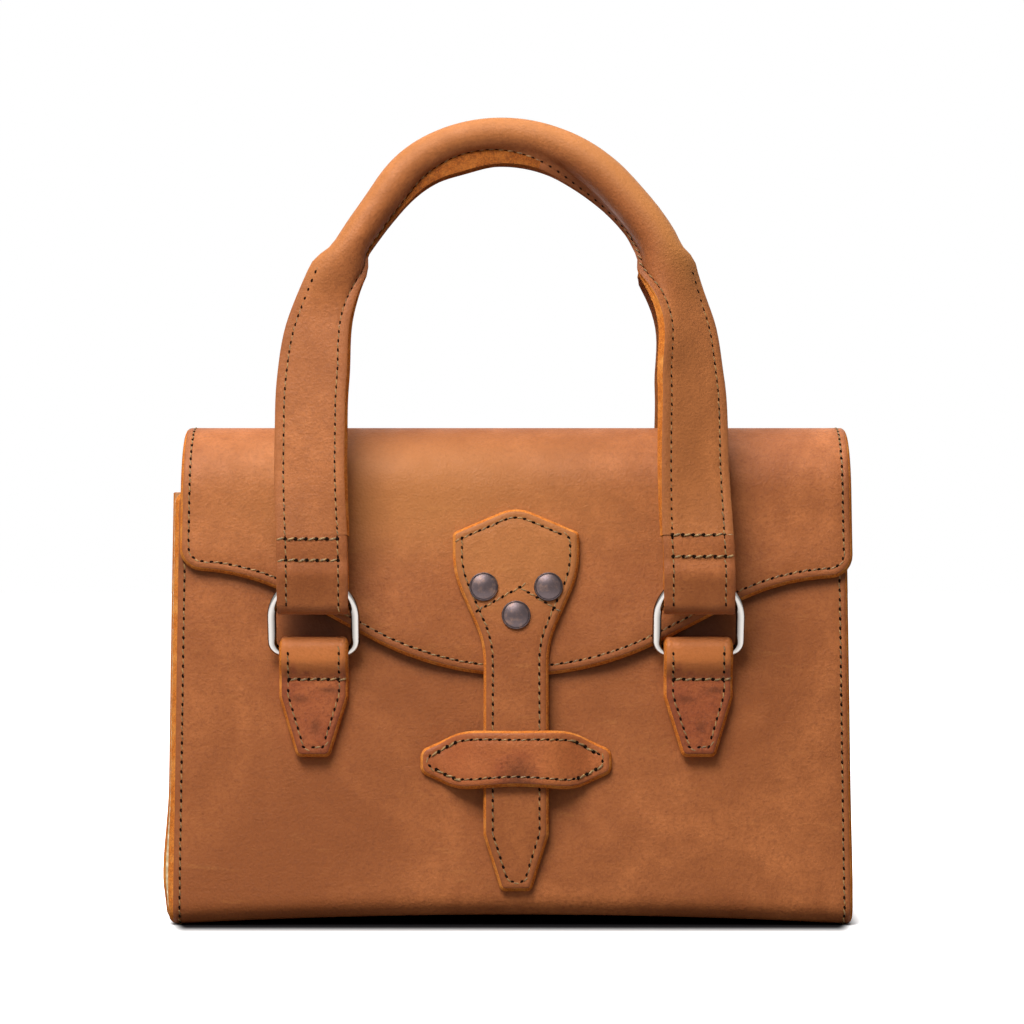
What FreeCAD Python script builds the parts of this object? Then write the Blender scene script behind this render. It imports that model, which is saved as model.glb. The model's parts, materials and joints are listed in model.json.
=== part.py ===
import FreeCAD
import Part
import math
import os

# A leather top handle bag, in millimetres: +Z up, front towards -Y, origin at the middle of the base.
# The side profile is a U of leather that leans in to its shoulders, under a flap with a round roof.

# Body
body_width = 300.0
base_depth = 116.0
base_corner_radius = 15.0
shoulder_depth = 60.0
shoulder_height = 190.0
wrap_leather = 2.2
lining_cloth = 0.8
gusset_leather = 2.0
gusset_flange = 10.0

# Flap, sewn to the back panel below its hinge line
flap_width = 296.0
flap_shift = 1.8
flap_gap = 0.3
flap_leather = 2.2
flap_cloth = 0.8
hinge_height = 175.0
hinge_slit = 0.3
anchor_drop = 25.0
flap_low_height = 108.3
flap_low_half_width = 35.0
flap_low_radius = 135.0
flap_waist_height = 153.0
flap_waist_half_width = 117.0
flap_waist_radius = 118.0
flap_side_height = 155.0
flap_corner_radius = 10.0

# Closure strap with its shield-shaped head, on the flap's front
closure_leather = 2.2
closure_backing = 1.8
head_top_height = 180.4
head_top_half_width = 8.8
head_shoulder_height = 170.7
head_half_width = 28.0
head_side_height = 156.0
head_neck_height = 124.0
head_corner_radius = 3.0
head_neck_radius = 45.0
tongue_half_width = 14.3
tongue_taper_height = 39.0
tongue_tip_height = 15.0
tongue_tip_half_width = 6.6
tongue_corner_radius = 2.5

# Rivets that hold the head to the flap
rivet_cap_radius = 6.25
rivet_cap_height = 2.6
rivet_post_radius = 1.5
rivet_back_radius = 4.0
rivet_pair_half_spacing = 14.3
rivet_pair_height = 146.6
rivet_low_height = 134.2

# Keeper that the closure strap is tucked under
keeper_width = 84.0
keeper_height = 26.0
keeper_end_height = 10.0
keeper_full_half_width = 24.0
keeper_mid_height = 71.0
keeper_leather = 2.2
keeper_cloth = 1.0
keeper_clearance = 0.3
keeper_side_clearance = 1.2
keeper_ramp = 9.0
keeper_corner_radius = 1.5

# Handle hardware: straight-barred rings with a round bow, in folded tabs
handle_half_spacing = 84.5
handle_shift = -2.6
strap_width = 31.0
strap_leather = 2.2
wire_diameter = 4.0
wire_clearance = 0.2
ring_side_gap = 0.8
ring_leg = 16.0
ring_corner_radius = 3.5
tab_leather = 2.8
tab_bar_height = 118.3
tab_width_cut = 0.5
tab_close_length = 11.0
tab_taper_length = 26.0
tab_length = 52.4
tab_tip_width = 14.4
tab_corner_radius = 2.0

# Handle loops, which turn on the ring bows
loop_standoff = 10.0
loop_half_gap = 3.1
loop_half_turn = 10.0
loop_axis_drop = 4.4
loop_low_drop = 6.5
loop_top_rise = 6.0
loop_close_rise = 15.0
loop_knee_rise = 18.0
loop_tail = 4.0

# Handle arch, from flat straps through necks to a rolled grip
arch_height = 349.6
arch_depth = 17.0
arch_radius = 63.0
arch_side_turn = 37.0
neck_start_turn = 19.0
neck_end_turn = 24.5
neck_plug_turn = 0.4
neck_width = 25.0
roll_diameter = 16.0
roll_wall = 2.0
core_clearance = 0.1
fin_depth = 5.0

# Worked out from the sizes above
base_flat_half = base_depth / 2 - base_corner_radius
shoulder_half = shoulder_depth / 2
rise = shoulder_height - base_corner_radius
run = base_flat_half - shoulder_half
panel_lean = math.atan2(run, rise) + math.asin(base_corner_radius / math.hypot(run, rise))
panel_out = (-math.cos(panel_lean), math.sin(panel_lean))
panel_up = (math.sin(panel_lean), math.cos(panel_lean))
roof_radius = shoulder_half / math.cos(panel_lean)
roof_height = shoulder_height - roof_radius * math.sin(panel_lean)
flap_lining_out = flap_gap + flap_cloth
flap_out = flap_lining_out + flap_leather
backing_out = flap_out + closure_backing
closure_out = backing_out + closure_leather
wire_radius = wire_diameter / 2
bar_hole_radius = wire_radius + wire_clearance
bar_out = tab_leather + bar_hole_radius
ring_half_width = strap_width / 2 + ring_side_gap + wire_radius
ring_axis_rise = ring_leg + ring_half_width - loop_axis_drop
loop_half_thickness = loop_half_gap + strap_leather
loop_axis_out = flap_out + loop_standoff + loop_half_thickness
ring_tilt = math.asin((loop_axis_out - bar_out) / ring_axis_rise)
loop_lean = panel_lean - ring_tilt + math.radians(loop_half_turn)
far = 4 * body_width


def vector(x, y, z):
    return FreeCAD.Vector(x, y, z)


def along_panel(height):
    """Distance up the front panel from its shoulder, for a height above the base."""
    return (height - shoulder_height) / math.cos(panel_lean)


def panel_point(out, up):
    """Depth and height of a point by its distance out from the front panel and up from its shoulder."""
    depth = -shoulder_half + panel_out[0] * out + panel_up[0] * up
    height = shoulder_height + panel_out[1] * out + panel_up[1] * up
    return depth, height


def stand_on_panel(shape):
    """Turn a shape that is drawn upright on the plane y = 0 to lie on the front panel."""
    placed = shape.copy()
    placed.rotate(vector(0, 0, 0), vector(1, 0, 0), -math.degrees(panel_lean))
    placed.translate(vector(0, -shoulder_half, shoulder_height))
    return placed


def lean_at(shape, lean, depth, height):
    """Lean an upright shape in towards the back and put its origin at a depth and height."""
    placed = shape.copy()
    placed.rotate(vector(0, 0, 0), vector(1, 0, 0), -math.degrees(lean))
    placed.translate(vector(0, depth, height))
    return placed


def to_back(shape):
    return shape.mirror(vector(0, 0, 0), vector(0, 1, 0))


def line(start, end):
    return Part.makeLine(start, end)


def arc(start, middle, end):
    return Part.Arc(start, middle, end).toShape()


def rounded_corners(corners):
    """Points of a closed outline, as start, middle and end of each rounded corner (x, y, radius)."""
    count = len(corners)
    spots = [vector(x, y, 0) for x, y, radius in corners]
    tangents = []
    bends = []
    for index in range(count):
        before = (spots[index - 1] - spots[index]).normalize()
        after = (spots[(index + 1) % count] - spots[index]).normalize()
        half_inner = before.getAngle(after) / 2
        bends.append((before, after, half_inner))
        tangents.append(corners[index][2] / math.tan(half_inner))
    rounded = []
    for index in range(count):
        following = (index + 1) % count
        side_before = (spots[index] - spots[index - 1]).Length
        side_after = (spots[following] - spots[index]).Length
        room_before = side_before / max(tangents[index] + tangents[index - 1], side_before)
        room_after = side_after / max(tangents[index] + tangents[following], side_after)
        tangent = tangents[index] * min(room_before, room_after)
        before, after, half_inner = bends[index]
        radius = tangent * math.tan(half_inner)
        inward = (before + after).normalize()
        nearest = radius / math.sin(half_inner) - radius
        spot = spots[index]
        rounded.append((spot + before * tangent, spot + inward * nearest, spot + after * tangent))
    return rounded


def outline_face(corners, place):
    """Flat face inside a closed outline; place turns its two coordinates into a point in space."""
    edges = []
    stops = rounded_corners(corners)
    for index, (start, middle, end) in enumerate(stops):
        if (end - start).Length > 1e-6:
            edges.append(arc(place(start.x, start.y), place(middle.x, middle.y), place(end.x, end.y)))
        following = stops[(index + 1) % len(stops)][0]
        if (following - end).Length > 1e-6:
            edges.append(line(place(end.x, end.y), place(following.x, following.y)))
    return Part.Face(Part.Wire(edges))


def panel_plate(corners, out, thickness):
    """Plate with an outline in (x, height up the panel), from one distance out of the panel to the next."""
    face = outline_face(corners, lambda x, up: vector(x, -out, up))
    return face.extrude(vector(0, -thickness, 0))


def mirrored_outline(half):
    """Closed outline from its right half, listed from the top down."""
    left = [(-x, y, radius) for x, y, radius in reversed(half)]
    return half + left


def offset_line(points, distance):
    """Open line through (x, y) points moved to its left by a distance, with mitred corners."""
    moved = []
    for index, (x, y) in enumerate(points):
        sides = []
        for first, second in ((index - 1, index), (index, index + 1)):
            if first >= 0 and second < len(points):
                dx = points[second][0] - points[first][0]
                dy = points[second][1] - points[first][1]
                size = math.hypot(dx, dy)
                sides.append((-dy / size, dx / size))
        nx = sum(side[0] for side in sides)
        ny = sum(side[1] for side in sides)
        scale = distance * len(sides) / (nx * nx + ny * ny)
        if len(sides) == 1:
            scale = distance
        moved.append((x + nx * scale, y + ny * scale))
    return moved


def sharp(points):
    return [(x, y, 0.0) for x, y in points]


# Side profile of the body: offsets are measured outwards from the wrap's outer face


def trough_edges(out, side):
    """Edges of the U profile at one offset, from the front shoulder round the base to the back one."""
    top_depth, top_height = panel_point(out, 0)
    radius = base_corner_radius + out
    tangent_depth = -base_flat_half + panel_out[0] * radius
    tangent_height = base_corner_radius + panel_out[1] * radius
    middle_turn = (math.pi / 2 - panel_lean) / 2
    middle_depth = -base_flat_half - radius * math.sin(middle_turn)
    middle_height = base_corner_radius - radius * math.cos(middle_turn)
    front = vector(side, -base_flat_half, -out)
    back = vector(side, base_flat_half, -out)
    front_tangent = vector(side, tangent_depth, tangent_height)
    back_tangent = vector(side, -tangent_depth, tangent_height)
    return [
        line(vector(side, top_depth, top_height), front_tangent),
        arc(front_tangent, vector(side, middle_depth, middle_height), front),
        line(front, back),
        arc(back, vector(side, -middle_depth, middle_height), back_tangent),
        line(back_tangent, vector(side, -top_depth, top_height)),
    ]


def trough_sheet(inner, outer, side, width):
    """U-shaped sheet between two offsets, from one side along +X."""
    outside = trough_edges(outer, side)
    inside = trough_edges(inner, side)
    front_end = line(inside[0].Vertexes[0].Point, outside[0].Vertexes[0].Point)
    back_end = line(outside[-1].Vertexes[1].Point, inside[-1].Vertexes[1].Point)
    wire = Part.Wire(Part.__sortEdges__(outside + [back_end] + inside + [front_end]))
    return Part.Face(wire).extrude(vector(width, 0, 0))


def trough_wall(out, side, thickness):
    """Flat end wall that fills the U profile up to its shoulders."""
    edges = trough_edges(out, side)
    rim = line(edges[-1].Vertexes[1].Point, edges[0].Vertexes[0].Point)
    return Part.Face(Part.Wire(edges + [rim])).extrude(vector(thickness, 0, 0))


def flap_sheet(inner, outer):
    """Flap between two offsets: hinge edge at the back, round roof, and the drop over the front."""
    side = flap_shift - flap_width / 2
    hinge_up = along_panel(hinge_height)
    low_up = along_panel(flap_low_height) - flap_out
    edges = []
    ends = []
    for out in (inner, outer):
        front_low = vector(side, *panel_point(out, low_up))
        front_top = vector(side, *panel_point(out, 0))
        depth, height = panel_point(out, hinge_up)
        hinge = vector(side, -depth, height)
        back_top = vector(side, -front_top.y, front_top.z)
        crown = vector(side, 0, roof_height + roof_radius + out)
        edges += [line(front_low, front_top), arc(front_top, crown, back_top), line(back_top, hinge)]
        ends.append((front_low, hinge))
    edges += [line(ends[0][0], ends[1][0]), line(ends[0][1], ends[1][1])]
    sheet = Part.Face(Part.Wire(Part.__sortEdges__(edges))).extrude(vector(flap_width, 0, 0))
    half = [
        (flap_width / 2, far, 0.0),
        (flap_width / 2, flap_side_height, flap_corner_radius),
        (flap_waist_half_width, flap_waist_height, flap_waist_radius),
        (flap_low_half_width, flap_low_height, flap_low_radius),
    ]
    cutter = outline_face(mirrored_outline(half), lambda x, z: vector(x + flap_shift, -far, z))
    return sheet.common(cutter.extrude(vector(0, 2 * far, 0)))


def flap_anchor():
    """Strip along the flap's back edge that is sewn flat on the back panel."""
    top = along_panel(hinge_height) - hinge_slit
    side = flap_width / 2
    corners = [(-side, top), (side, top), (side, top - anchor_drop), (-side, top - anchor_drop)]
    strip = panel_plate(sharp(corners), 0, flap_leather + flap_cloth)
    strip.translate(vector(flap_shift, 0, 0))
    return to_back(stand_on_panel(strip))


def gusset(side):
    """End panel set in from the raw edge, with a flange turned out along the front, base and back."""
    lining_face = -wrap_leather - lining_cloth
    wall_start = body_width / 2 - gusset_flange - gusset_leather
    flange = trough_sheet(lining_face - gusset_leather, lining_face, wall_start, body_width / 2 - wall_start)
    wall = trough_wall(lining_face, wall_start, gusset_leather)
    leather = flange.fuse(wall).removeSplitter()
    cloth = trough_wall(lining_face, wall_start - lining_cloth, lining_cloth)
    if side < 0:
        return [shape.mirror(vector(0, 0, 0), vector(1, 0, 0)) for shape in (leather, cloth)]
    return [leather, cloth]


def closure_outline():
    half = [
        (head_top_half_width, along_panel(head_top_height), head_corner_radius),
        (head_half_width, along_panel(head_shoulder_height), head_corner_radius),
        (head_half_width, along_panel(head_side_height), head_neck_radius),
        (tongue_half_width, along_panel(head_neck_height), head_neck_radius),
        (tongue_half_width, along_panel(tongue_taper_height), tongue_corner_radius),
        (tongue_tip_half_width, along_panel(tongue_tip_height), tongue_corner_radius),
    ]
    return mirrored_outline(half)


def rivet_spots():
    pair = along_panel(rivet_pair_height)
    low = along_panel(rivet_low_height)
    return [(-rivet_pair_half_spacing, pair), (rivet_pair_half_spacing, pair), (0.0, low)]


def rivet_rods(radius, inner, outer):
    """A round rod through the flap at each rivet, between two distances out from the panel."""
    rods = []
    for x, up in rivet_spots():
        rods.append(Part.makeCylinder(radius, outer - inner, vector(x, -inner, up), vector(0, -1, 0)))
    return rods


def rivet_caps():
    """Domed caps on the closure strap's head."""
    dome_radius = (rivet_cap_radius**2 + rivet_cap_height**2) / (2 * rivet_cap_height)
    caps = []
    for x, up in rivet_spots():
        ball = Part.makeSphere(dome_radius, vector(x, dome_radius - rivet_cap_height - closure_out, up))
        seat = Part.makeCylinder(
            rivet_cap_radius, 2 * dome_radius, vector(x, -closure_out, up), vector(0, -1, 0)
        )
        caps.append(ball.common(seat))
    return Part.makeCompound(caps)


def rivet_backs():
    """Posts with flat feet: the feet lie flush in the flap's lining."""
    posts = rivet_rods(rivet_post_radius, flap_lining_out, closure_out)
    feet = rivet_rods(rivet_back_radius, flap_gap, flap_lining_out)
    return Part.makeCompound([post.fuse(foot) for post, foot in zip(posts, feet)])


def cut_for(shape, tools):
    for tool in tools:
        shape = shape.cut(tool)
    return shape


def on_flap_front(shape):
    moved = shape.copy()
    moved.translate(vector(flap_shift, 0, 0))
    return stand_on_panel(moved)


def keeper_layers():
    """Leather bridge over the closure strap and the cloth strip that backs it."""
    crown = tongue_half_width + keeper_side_clearance
    ramp = crown + keeper_ramp
    half = keeper_width / 2
    bridge = closure_out + keeper_clearance
    under = [(-half, 0), (-ramp, 0), (-crown, bridge), (crown, bridge), (ramp, 0), (half, 0)]
    between = offset_line(under, keeper_cloth)
    over = offset_line(under, keeper_cloth + keeper_leather)
    low = along_panel(keeper_mid_height) - keeper_height / 2
    middle = along_panel(keeper_mid_height)
    corners = [
        (keeper_full_half_width, middle + keeper_height / 2, keeper_corner_radius),
        (half, middle + keeper_end_height / 2, keeper_corner_radius),
        (half, middle - keeper_end_height / 2, keeper_corner_radius),
        (keeper_full_half_width, middle - keeper_height / 2, keeper_corner_radius),
    ]
    outline = panel_plate(mirrored_outline(corners), 0, far)
    layers = []
    for inner, outer in ((between, over), (under, between)):
        section = outline_face(sharp(inner + outer[::-1]), lambda x, out: vector(x, -out, low))
        layers.append(section.extrude(vector(0, 0, keeper_height)).common(outline))
    return layers


def ring_tab():
    """Folded leather tab at x = 0, sewn on the panel, with the ring's bar in its fold."""
    bar_up = along_panel(tab_bar_height)
    fold_radius = bar_out
    width = strap_width - tab_width_cut
    tip_up = bar_up + fold_radius - tab_length
    closed_up = bar_up - tab_close_length

    def place(out, up):
        return vector(-width / 2, -out, up)

    outside = [
        line(place(0, tip_up), place(0, bar_up)),
        arc(place(0, bar_up), place(bar_out, bar_up + fold_radius), place(2 * bar_out, bar_up)),
        line(place(2 * bar_out, bar_up), place(2 * tab_leather, closed_up)),
        line(place(2 * tab_leather, closed_up), place(2 * tab_leather, tip_up)),
        line(place(2 * tab_leather, tip_up), place(0, tip_up)),
    ]
    strip = Part.Face(Part.Wire(outside)).extrude(vector(width, 0, 0))
    passage = Part.makeCylinder(bar_hole_radius, width, place(bar_out, bar_up), vector(1, 0, 0))
    fold_out = tab_leather + 2 * bar_hole_radius
    fold = [(tab_leather, bar_up), (fold_out, bar_up), (tab_leather, closed_up + tab_leather)]
    passage = passage.fuse(outline_face(sharp(fold), place).extrude(vector(width, 0, 0)))
    taper_up = bar_up + fold_radius - tab_taper_length
    half = [
        (width / 2, bar_up + 2 * fold_radius, 0.0),
        (width / 2, taper_up, tab_corner_radius),
        (tab_tip_width / 2, tip_up, tab_corner_radius),
    ]
    return strip.cut(passage).common(panel_plate(mirrored_outline(half), 0, 3 * bar_out))


def ring():
    """Ring of round wire at x = 0, with its bar in the tab and its round bow leaning out from the panel."""
    half = ring_half_width
    corner = ring_corner_radius
    diagonal = corner * (1 - math.sqrt(0.5))

    def place(x, up):
        return vector(x, 0, up)

    path = [
        line(place(0, 0), place(half - corner, 0)),
        arc(place(half - corner, 0), place(half - diagonal, diagonal), place(half, corner)),
        line(place(half, corner), place(half, ring_leg)),
        arc(place(half, ring_leg), place(0, ring_leg + half), place(-half, ring_leg)),
        line(place(-half, ring_leg), place(-half, corner)),
        arc(place(-half, corner), place(-half + diagonal, diagonal), place(corner - half, 0)),
        line(place(corner - half, 0), place(0, 0)),
    ]
    section = Part.Wire(Part.makeCircle(wire_radius, vector(0, 0, 0), vector(1, 0, 0)))
    wire = Part.Wire(path).makePipeShell([section], True, False)
    wire.rotate(vector(0, 0, 0), vector(1, 0, 0), math.degrees(ring_tilt))
    wire.translate(vector(0, -bar_out, along_panel(tab_bar_height)))
    return wire


def loop_axis():
    """Depth and height of the line on which a handle loop turns in its ring."""
    up = along_panel(tab_bar_height) + ring_axis_rise * math.cos(ring_tilt)
    return panel_point(loop_axis_out, up)


def handle_knee():
    """Depth and height where the strap bends from the loop into the handle, and the handle's lean."""
    axis_depth, axis_height = loop_axis()
    depth = axis_depth + loop_knee_rise * math.sin(loop_lean)
    height = axis_height + loop_knee_rise * math.cos(loop_lean)
    lean = math.atan2(-arch_depth - depth, arch_height - height)
    return depth, height, lean


def strap_loop():
    """End of a handle strap, folded back on itself round the ring's bow, at x = 0."""
    knee_turn = handle_knee()[2] - loop_lean
    knee = (0.0, loop_knee_rise)
    tail = (loop_tail * math.sin(knee_turn), loop_knee_rise + loop_tail * math.cos(knee_turn))
    spine = [(0.0, loop_close_rise), knee, tail]
    thick = loop_half_thickness
    front = [(-thick, -loop_low_drop), (-thick, loop_top_rise)] + offset_line(spine, strap_leather)
    back = [(thick, -loop_low_drop), (thick, loop_top_rise)] + offset_line(spine, -strap_leather)

    def place(y, up):
        return vector(-strap_width / 2, y, up)

    side = [place(y, up) for y, up in front + back[::-1]]
    edges = [line(start, end) for start, end in zip(side, side[1:])]
    edges.append(arc(side[-1], place(0, -loop_low_drop - thick), side[0]))
    strip = Part.Face(Part.Wire(edges)).extrude(vector(strap_width, 0, 0))
    gap = loop_half_gap
    low = [place(-gap, -loop_low_drop), place(0, -loop_low_drop - gap), place(gap, -loop_low_drop)]
    top = [place(gap, loop_axis_drop), place(0, loop_axis_drop + gap), place(-gap, loop_axis_drop)]
    pocket = [arc(*low), line(low[2], top[0]), arc(*top), line(top[2], low[0])]
    strip = strip.cut(Part.Face(Part.Wire(pocket)).extrude(vector(strap_width, 0, 0)))
    return lean_at(strip, loop_lean, *loop_axis())


class Arch:
    """Line of the handle in its own plane: straight sides, wide side arcs and a round top, right half."""

    def __init__(self):
        self.depth, self.height, self.lean = handle_knee()
        turn = math.radians(arch_side_turn)
        straight = handle_half_spacing - arch_radius * math.cos(turn)
        self.side_radius = straight / (1 - math.cos(turn))
        self.apex = (arch_height - self.height) / math.cos(self.lean)
        self.start = self.apex - arch_radius - (self.side_radius - arch_radius) * math.sin(turn)
        self.top_centre = self.apex - arch_radius

    def side_point(self, turn, offset=0.0):
        """Point on the side arc after a turn in degrees, moved out from the line by an offset."""
        radius = self.side_radius + offset
        x = handle_half_spacing - self.side_radius + radius * math.cos(math.radians(turn))
        return vector(x, 0, self.start + radius * math.sin(math.radians(turn)))

    def top_point(self, turn, offset=0.0):
        """Point on the top arc at an angle in degrees above the horizontal."""
        radius = arch_radius + offset
        angle = math.radians(turn)
        return vector(radius * math.cos(angle), 0, self.top_centre + radius * math.sin(angle))

    def place(self, shape):
        return lean_at(shape, self.lean, self.depth, self.height)


def flip(point):
    return vector(-point.x, point.y, point.z)


def strap_leaf(arch, front, back, start):
    """Flat strap from a start height to the neck, between two depths in the handle's plane."""
    wide = strap_width / 2
    narrow = neck_width / 2
    middle = (wide + narrow) / 2
    edges = []
    for side in (1, -1):
        low = vector(handle_half_spacing + side * wide, 0, start)
        bend = vector(handle_half_spacing + side * wide, 0, arch.start)
        curve = arch.side_point(neck_start_turn / 2, side * middle)
        neck = arch.side_point(neck_start_turn, side * narrow)
        edges += [line(low, bend), arc(bend, curve, neck)]
        edges.append(line(vector(handle_half_spacing, 0, start), low))
    edges.append(line(arch.side_point(neck_start_turn, -narrow), arch.side_point(neck_start_turn, narrow)))
    face = Part.Face(Part.Wire(Part.__sortEdges__(edges)))
    face.translate(vector(0, front, 0))
    return face.extrude(vector(0, back - front, 0))


def neck_ring(arch, turn, half_width, half_depth, fullness):
    """Closed curve round the handle line: fullness 2 is an oval, more is nearer to a rectangle."""
    count = 24
    middle = arch.side_point(turn)
    out = arch.side_point(turn, 1.0) - middle
    points = []
    for index in range(count):
        angle = 2 * math.pi * index / count
        across = math.copysign(abs(math.cos(angle)) ** (2 / fullness), math.cos(angle))
        deep = math.copysign(abs(math.sin(angle)) ** (2 / fullness), math.sin(angle))
        points.append(middle + out * (half_width * across) + vector(0, half_depth * deep, 0))
    curve = Part.BSplineCurve()
    curve.interpolate(Points=points, PeriodicFlag=True)
    return Part.Wire(curve.toShape())


def strap_neck(arch):
    """Right neck, where the flat strap closes into the roll and plugs its end."""
    steps = 4
    plug_radius = roll_diameter / 2 - roll_wall / 4
    turn_span = neck_end_turn + neck_plug_turn - neck_start_turn
    rings = []
    for step in range(steps + 1):
        share = step / steps
        half_width = neck_width / 2 + (plug_radius - neck_width / 2) * share
        half_depth = strap_leather + (plug_radius - strap_leather) * share
        rings.append(neck_ring(arch, neck_start_turn + turn_span * share, half_width, half_depth, 4 - 2 * share))
    return Part.makeLoft(rings, True, False)


def roll_bar(arch, radius, start_turn):
    """Round bar along the arch from a turn past one neck's start to the same turn on the other side."""
    ends = [start_turn, (start_turn + arch_side_turn) / 2, arch_side_turn]
    right = [arch.side_point(turn) for turn in ends]
    left = [flip(point) for point in reversed(right)]
    path = Part.Wire([arc(*right), arc(right[2], arch.top_point(90), left[0]), arc(*left)])
    along = vector(0, 1, 0).cross(arch.side_point(start_turn, -1.0) - right[0])
    section = Part.Wire(Part.makeCircle(radius, right[0], along))
    return path.makePipeShell([section], True, False)


def seam_fin(arch):
    """Raw seam edges that stand out under the roll, deepest at the top of the arch."""
    inner = 1 - roll_diameter / 2
    side = arch.top_point(arch_side_turn, inner)
    low = arch.top_point(90, inner - fin_depth - 1)
    edges = [arc(side, arch.top_point(90, inner), flip(side)), arc(side, low, flip(side))]
    face = Part.Face(Part.Wire(Part.__sortEdges__(edges)))
    face.translate(vector(0, -strap_leather, 0))
    return face.extrude(vector(0, 2 * strap_leather, 0))


def front_handle():
    """Strap with its loops, necks and rolled grip, the two backing leaves and the core of the grip."""
    arch = Arch()
    loop = strap_loop()
    core_radius = roll_diameter / 2 - roll_wall
    core_hole = roll_bar(arch, core_radius, neck_end_turn)
    grip = roll_bar(arch, roll_diameter / 2, neck_end_turn).fuse(seam_fin(arch)).cut(core_hole)
    leaf = strap_leaf(arch, -strap_leather, 0, loop_tail)
    half = [arch.place(leaf), arch.place(strap_neck(arch)), shifted(loop, handle_half_spacing)]
    pieces = half + [mirror_x(shape) for shape in half]
    strap = arch.place(grip)
    for piece in pieces:
        strap = strap.fuse(piece)
    backing = arch.place(strap_leaf(arch, 0, strap_leather, loop_tail))
    core = arch.place(roll_bar(arch, core_radius - core_clearance, neck_end_turn + neck_plug_turn))
    return {"strap": strap, "left_backing": mirror_x(backing), "right_backing": backing, "core": core}


def mirror_x(shape):
    return shape.mirror(vector(0, 0, 0), vector(1, 0, 0))


def shifted(shape, x):
    moved = shape.copy()
    moved.translate(vector(x, 0, 0))
    return moved


def all_nodes():
    nodes = {}
    side = -body_width / 2
    nodes["body_wrap"] = trough_sheet(-wrap_leather, 0, side, body_width)
    nodes["body_lining"] = trough_sheet(-wrap_leather - lining_cloth, -wrap_leather, side, body_width)
    for name, sign in (("left", -1), ("right", 1)):
        nodes[name + "_gusset"], nodes[name + "_gusset_lining"] = gusset(sign)
    posts = [on_flap_front(rod) for rod in rivet_rods(rivet_post_radius, flap_gap, closure_out)]
    feet = [on_flap_front(rod) for rod in rivet_rods(rivet_back_radius, flap_gap, flap_lining_out)]
    nodes["flap_outer"] = cut_for(flap_sheet(flap_lining_out, flap_out), posts)
    nodes["flap_lining"] = cut_for(flap_sheet(flap_gap, flap_lining_out), feet)
    nodes["flap_anchor"] = flap_anchor()
    backing = panel_plate(closure_outline(), flap_out, closure_backing)
    strap = panel_plate(closure_outline(), backing_out, closure_leather)
    nodes["closure_strap_backing"] = cut_for(on_flap_front(backing), posts)
    nodes["closure_strap"] = cut_for(on_flap_front(strap), posts)
    nodes["closure_rivets"] = on_flap_front(rivet_caps())
    nodes["closure_rivet_backs"] = on_flap_front(rivet_backs())
    keeper, keeper_back = keeper_layers()
    nodes["strap_keeper"] = on_flap_front(keeper)
    nodes["strap_keeper_backing"] = on_flap_front(keeper_back)
    handle = front_handle()
    for name, turned in (("front", lambda shape: shape), ("back", to_back)):
        for side_name, sign in (("left", -1), ("right", 1)):
            x = handle_shift + sign * handle_half_spacing
            nodes[f"{name}_{side_name}_ring_tab"] = turned(stand_on_panel(shifted(ring_tab(), x)))
            nodes[f"{name}_{side_name}_ring"] = turned(stand_on_panel(shifted(ring(), x)))
        for piece, shape in handle.items():
            nodes[f"{name}_handle_{piece}"] = turned(shifted(shape, handle_shift))
    return nodes


def main():
    os.makedirs("parts", exist_ok=True)
    for name, shape in all_nodes().items():
        shape.exportStep(f"parts/{name}.step")
        print(name, len(shape.Solids), "solids", round(shape.Volume, 1), "mm3", shape.isValid())
    axis_depth, axis_height = loop_axis()
    hinge_depth, hinge_level = panel_point(flap_out, along_panel(hinge_height))
    bar_depth, bar_level = panel_point(bar_out, along_panel(tab_bar_height))
    print("ring bars at", bar_depth, bar_level, "loops turn at", axis_depth, axis_height)
    print("flap turns at", -hinge_depth, hinge_level)


main()
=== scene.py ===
"""Looks of a tan leather top handle bag, laid out as an add-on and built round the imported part."""

import json
import math

import bmesh
import bpy
import numpy as np
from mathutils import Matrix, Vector
from mathutils.geometry import delaunay_2d_cdt


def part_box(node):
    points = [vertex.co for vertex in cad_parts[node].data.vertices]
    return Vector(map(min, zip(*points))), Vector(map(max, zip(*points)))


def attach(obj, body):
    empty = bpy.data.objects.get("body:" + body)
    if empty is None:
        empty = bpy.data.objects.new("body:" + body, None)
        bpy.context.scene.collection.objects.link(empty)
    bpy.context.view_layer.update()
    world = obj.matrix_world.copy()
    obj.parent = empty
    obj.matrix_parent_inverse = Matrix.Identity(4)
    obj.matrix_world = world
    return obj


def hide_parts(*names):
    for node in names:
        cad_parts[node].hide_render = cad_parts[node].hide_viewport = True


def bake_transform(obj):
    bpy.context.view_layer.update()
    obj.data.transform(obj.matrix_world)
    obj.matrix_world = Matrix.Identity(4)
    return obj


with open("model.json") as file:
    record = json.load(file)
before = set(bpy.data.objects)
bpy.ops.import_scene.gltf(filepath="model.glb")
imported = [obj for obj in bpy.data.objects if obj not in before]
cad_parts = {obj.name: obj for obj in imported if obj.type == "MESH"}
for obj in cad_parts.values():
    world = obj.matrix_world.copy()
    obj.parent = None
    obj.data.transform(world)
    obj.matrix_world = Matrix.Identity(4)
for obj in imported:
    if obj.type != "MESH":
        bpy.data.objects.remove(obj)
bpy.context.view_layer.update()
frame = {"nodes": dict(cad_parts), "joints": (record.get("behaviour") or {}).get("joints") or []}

bl_info = {
    "name": "Leather top handle bag",
    "version": (1, 0, 0),
    "blender": (4, 5, 0),
    "location": "3D View > Sidebar > Bag",
    "description": "Builds the leather, stitching, hardware and stage of a top handle bag",
    "category": "Object",
}

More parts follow.
